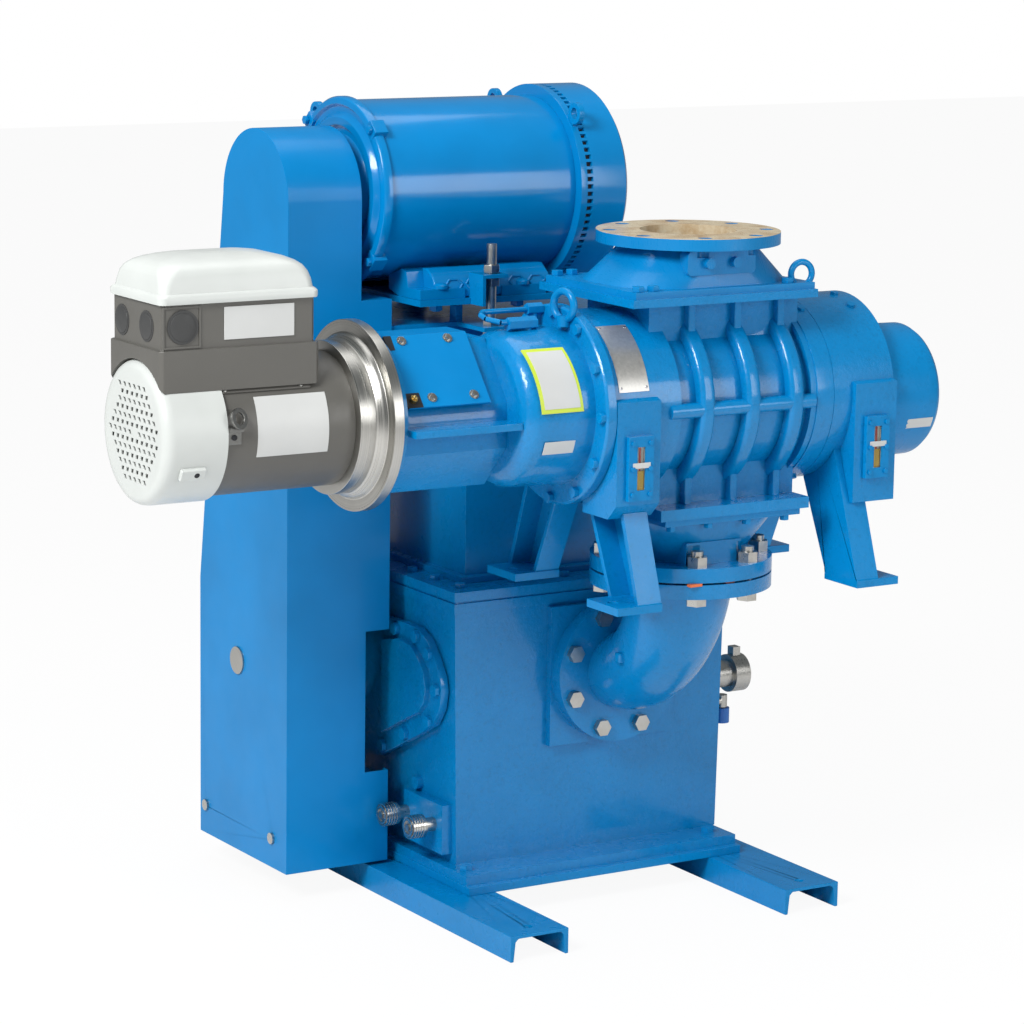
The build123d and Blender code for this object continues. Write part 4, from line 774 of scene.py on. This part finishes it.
# ------------------------------------------------------------------ pump details
bm = bmesh.new()
for y, z in ((234.0, 128.0), (318.0, 128.0)):
    for x0 in (-342.0, -337.5, -333.0, -328.5, -324.0):
        add_lathe(bm, [(x0, 17.0), (x0, 18.7), (x0 + 2.6, 18.7), (x0 + 2.6, 17.0)], y, z, 40)
    add_lathe(bm, [(-341.2, 11.0), (-343.4, 11.0), (-343.4, 15.0), (-341.2, 15.0)], y, z, 40)
place(bm, "drain_cap_knurls", "stainless_plain")
bm = bmesh.new()
add_box(bm, -71, -49, -131.5, -122, JOINT - 1.2, JOINT + 3.0)
place(bm, "gasket_tab", "orange", edge=0.6)
bm = bmesh.new()
add_box(bm, -79, -64, 45, 60, 400, 416)
place(bm, "elbow_lug", "blue_cast", edge=3.0, segments=3)

# ------------------------------------------------------------------ main motor details
MOT = (450.0, 1105.0)
bm = bmesh.new()
add_lathe(bm, [(8.6, 150.6), (8.6, 151.6), (17.4, 151.6), (17.4, 150.6)], *MOT)
place(bm, "fan_slot_shadow", "dark", body="carriage")
bm = bmesh.new()
for k in range(SLOT_RIBS):
    turn = Matrix.Translation((0, *MOT)) @ Matrix.Rotation(2 * math.pi * k / SLOT_RIBS, 4, "X")
    add_box(bm, 7.4, 18.6, -2.4, 2.4, 151.0, 157.0, turn)
place(bm, "fan_slot_ribs", "blue_motor", body="carriage")
bm = bmesh.new()
for a in (45, 135, 225, 315):
    c, s = math.cos(math.radians(a)), math.sin(math.radians(a))
    turn = Matrix.Translation((0, *MOT)) @ Matrix.Rotation(math.radians(90 - a), 4, "X")
    add_box(bm, -354, -330, -13, 13, 130, 152, turn)
    hex_head(bm, turn @ Vector((-354, 0, 144)), (-1, 0, 0), 13, 7)
place(bm, "bell_lugs", "blue_motor", body="carriage", edge=1.5)
for s, word in ((-1, "front"), (1, "back")):
    bm = bmesh.new()
    y0 = MOT[0] + s * 112
    outline = [(y0, 946), (y0 + s * 33, 946), (y0 + s * 33, 958), (y0 + s * 26, 976),
               (y0 + s * 6, 990), (y0 - s * 10, 990)]
    prism(bm, outline, -262, -50)
    place(bm, "motor_foot_rail_%s" % word, "blue_motor", body="carriage", edge=3.0, segments=3)
    bm = bmesh.new()
    for cx in (-226, -190, -112, -76):
        corners = [math.radians(60 * k) for k in range(6)]
        hexa = [(cx + 15 * math.cos(a), 966 + 8.6 * math.sin(a)) for a in corners]
        tilt = [MOT[0] + s * (112 + 33 - 7 * max(0.0, z - 958) / 18) for _, z in hexa]
        for k in range(6):
            (x0, z0), (x1, z1) = hexa[k], hexa[(k + 1) % 6]
            ya, yb = tilt[k], tilt[(k + 1) % 6]
            step = Vector((x1 - x0, yb - ya, z1 - z0))
            add_disc(bm, (x0, ya, z0), step, 1.9, step.length, 8)
    place(bm, "motor_foot_beads_%s" % word, "blue_motor", body="carriage")
bm = bmesh.new()
for x in (-250.0, -102.0):
    for s in (-1, 1):
        add_disc(bm, (x, MOT[0] + s * 140, 961.0), (0, 0, 1), 12, 9, 24, 4)
place(bm, "foot_bosses", "blue_motor", body="carriage")

# ------------------------------------------------------------------ stage, light and camera
AMBIENT = 0.42


def make_floor():
    """White ground that glows for the camera only."""
    bm = bmesh.new()
    bmesh.ops.create_grid(bm, x_segments=1, y_segments=1, size=14.0)
    mesh = bpy.data.meshes.new("floor")
    bm.to_mesh(mesh)
    o = bpy.data.objects.new("floor", mesh)
    bpy.context.scene.collection.objects.link(o)
    g = Graph("floor_white")
    g.put(Base_Color=(0.9, 0.9, 0.9, 1.0), Roughness=0.85)
    path = g.node("ShaderNodeLightPath")
    glow = g.node("ShaderNodeEmission", Strength=1.0)
    mixer = g.node("ShaderNodeMixShader")
    part = g.node("ShaderNodeMath", operation="MULTIPLY")
    part.inputs[1].default_value = 0.93
    g.link(path.outputs["Is Camera Ray"], part.inputs[0])
    g.link(part.outputs[0], mixer.inputs[0])
    g.link(g.shader.outputs[0], mixer.inputs[1])
    g.link(glow.outputs[0], mixer.inputs[2])
    g.link(mixer.outputs[0], g.tree.nodes["Material Output"].inputs["Surface"])
    o.data.materials.append(g.mat)


def make_world():
    """Dim light on the part, less in reflections, and plain white behind and through glass."""
    world = bpy.data.worlds.new("studio")
    bpy.context.scene.world = world
    world.use_nodes = True
    t = world.node_tree
    low = t.nodes.new("ShaderNodeBackground")
    low.inputs["Color"].default_value = (0.9, 0.97, 1.0, 1.0)
    low.inputs["Strength"].default_value = 0.2
    sheen = t.nodes.new("ShaderNodeMixShader")
    dim = t.nodes["Background"]
    dim.inputs["Color"].default_value = (1.0, 1.0, 1.0, 1.0)
    dim.inputs["Strength"].default_value = AMBIENT
    white = t.nodes.new("ShaderNodeBackground")
    white.inputs["Color"].default_value = (1.0, 1.0, 1.0, 1.0)
    white.inputs["Strength"].default_value = 1.0
    path = t.nodes.new("ShaderNodeLightPath")
    mixer = t.nodes.new("ShaderNodeMixShader")
    either = t.nodes.new("ShaderNodeMath")
    either.operation = "MAXIMUM"
    t.links.new(path.outputs["Is Camera Ray"], either.inputs[0])
    t.links.new(path.outputs["Is Transmission Ray"], either.inputs[1])
    t.links.new(either.outputs[0], mixer.inputs[0])
    t.links.new(path.outputs["Is Glossy Ray"], sheen.inputs[0])
    t.links.new(dim.outputs[0], sheen.inputs[1])
    t.links.new(low.outputs[0], sheen.inputs[2])
    t.links.new(sheen.outputs[0], mixer.inputs[1])
    t.links.new(white.outputs[0], mixer.inputs[2])
    t.links.new(mixer.outputs[0], t.nodes["World Output"].inputs["Surface"])


def area(name, where, target, size, watts):
    """Rectangular lamp at where, turned to the target."""
    light = bpy.data.lights.new(name, "AREA")
    light.shape, light.size, light.size_y, light.energy = "RECTANGLE", size[0], size[1], watts
    o = bpy.data.objects.new(name, light)
    o.location = where
    o.rotation_euler = (Vector(target) - Vector(where)).to_track_quat("-Z", "Y").to_euler()
    bpy.context.scene.collection.objects.link(o)


def make_camera(where, azimuth, elevation, roll, lens):
    """Camera at where, turned by azimuth, tipped down by elevation and rolled, in degrees."""
    a, e = math.radians(azimuth), math.radians(elevation)
    back = Vector((math.sin(a) * math.cos(e), -math.cos(a) * math.cos(e), math.sin(e)))
    right = Vector((math.cos(a), math.sin(a), 0.0))
    up = back.cross(right)
    c, s = math.cos(math.radians(roll)), math.sin(math.radians(roll))
    r2, u2 = right * c + up * s, up * c - right * s
    cam = bpy.data.cameras.new("camera")
    cam.lens, cam.sensor_width = lens, 36.0
    cam.clip_start, cam.clip_end = 0.1, 100.0
    o = bpy.data.objects.new("camera", cam)
    m = Matrix((r2, u2, back)).transposed().to_4x4()
    m.translation = where
    o.matrix_world = m
    bpy.context.scene.collection.objects.link(o)
    bpy.context.scene.camera = o


bpy.context.scene.view_settings.view_transform = "Standard"
make_floor()
make_world()
CENTRE = (CAD_BOX[0] + CAD_BOX[1]) / 2
area("key", (-3.4, -1.6, 3.4), CENTRE, (1.5, 1.5), 205)
area("fill", (1.8, -3.6, 1.6), CENTRE, (1.4, 1.4), 32)
area("top", (0.2, 0.4, 4.2), CENTRE, (2.6, 2.6), 45)
make_camera(at(-3058.6, -4462.2, 1648.1), -31.68, 10.617, 0.843, 126.33)
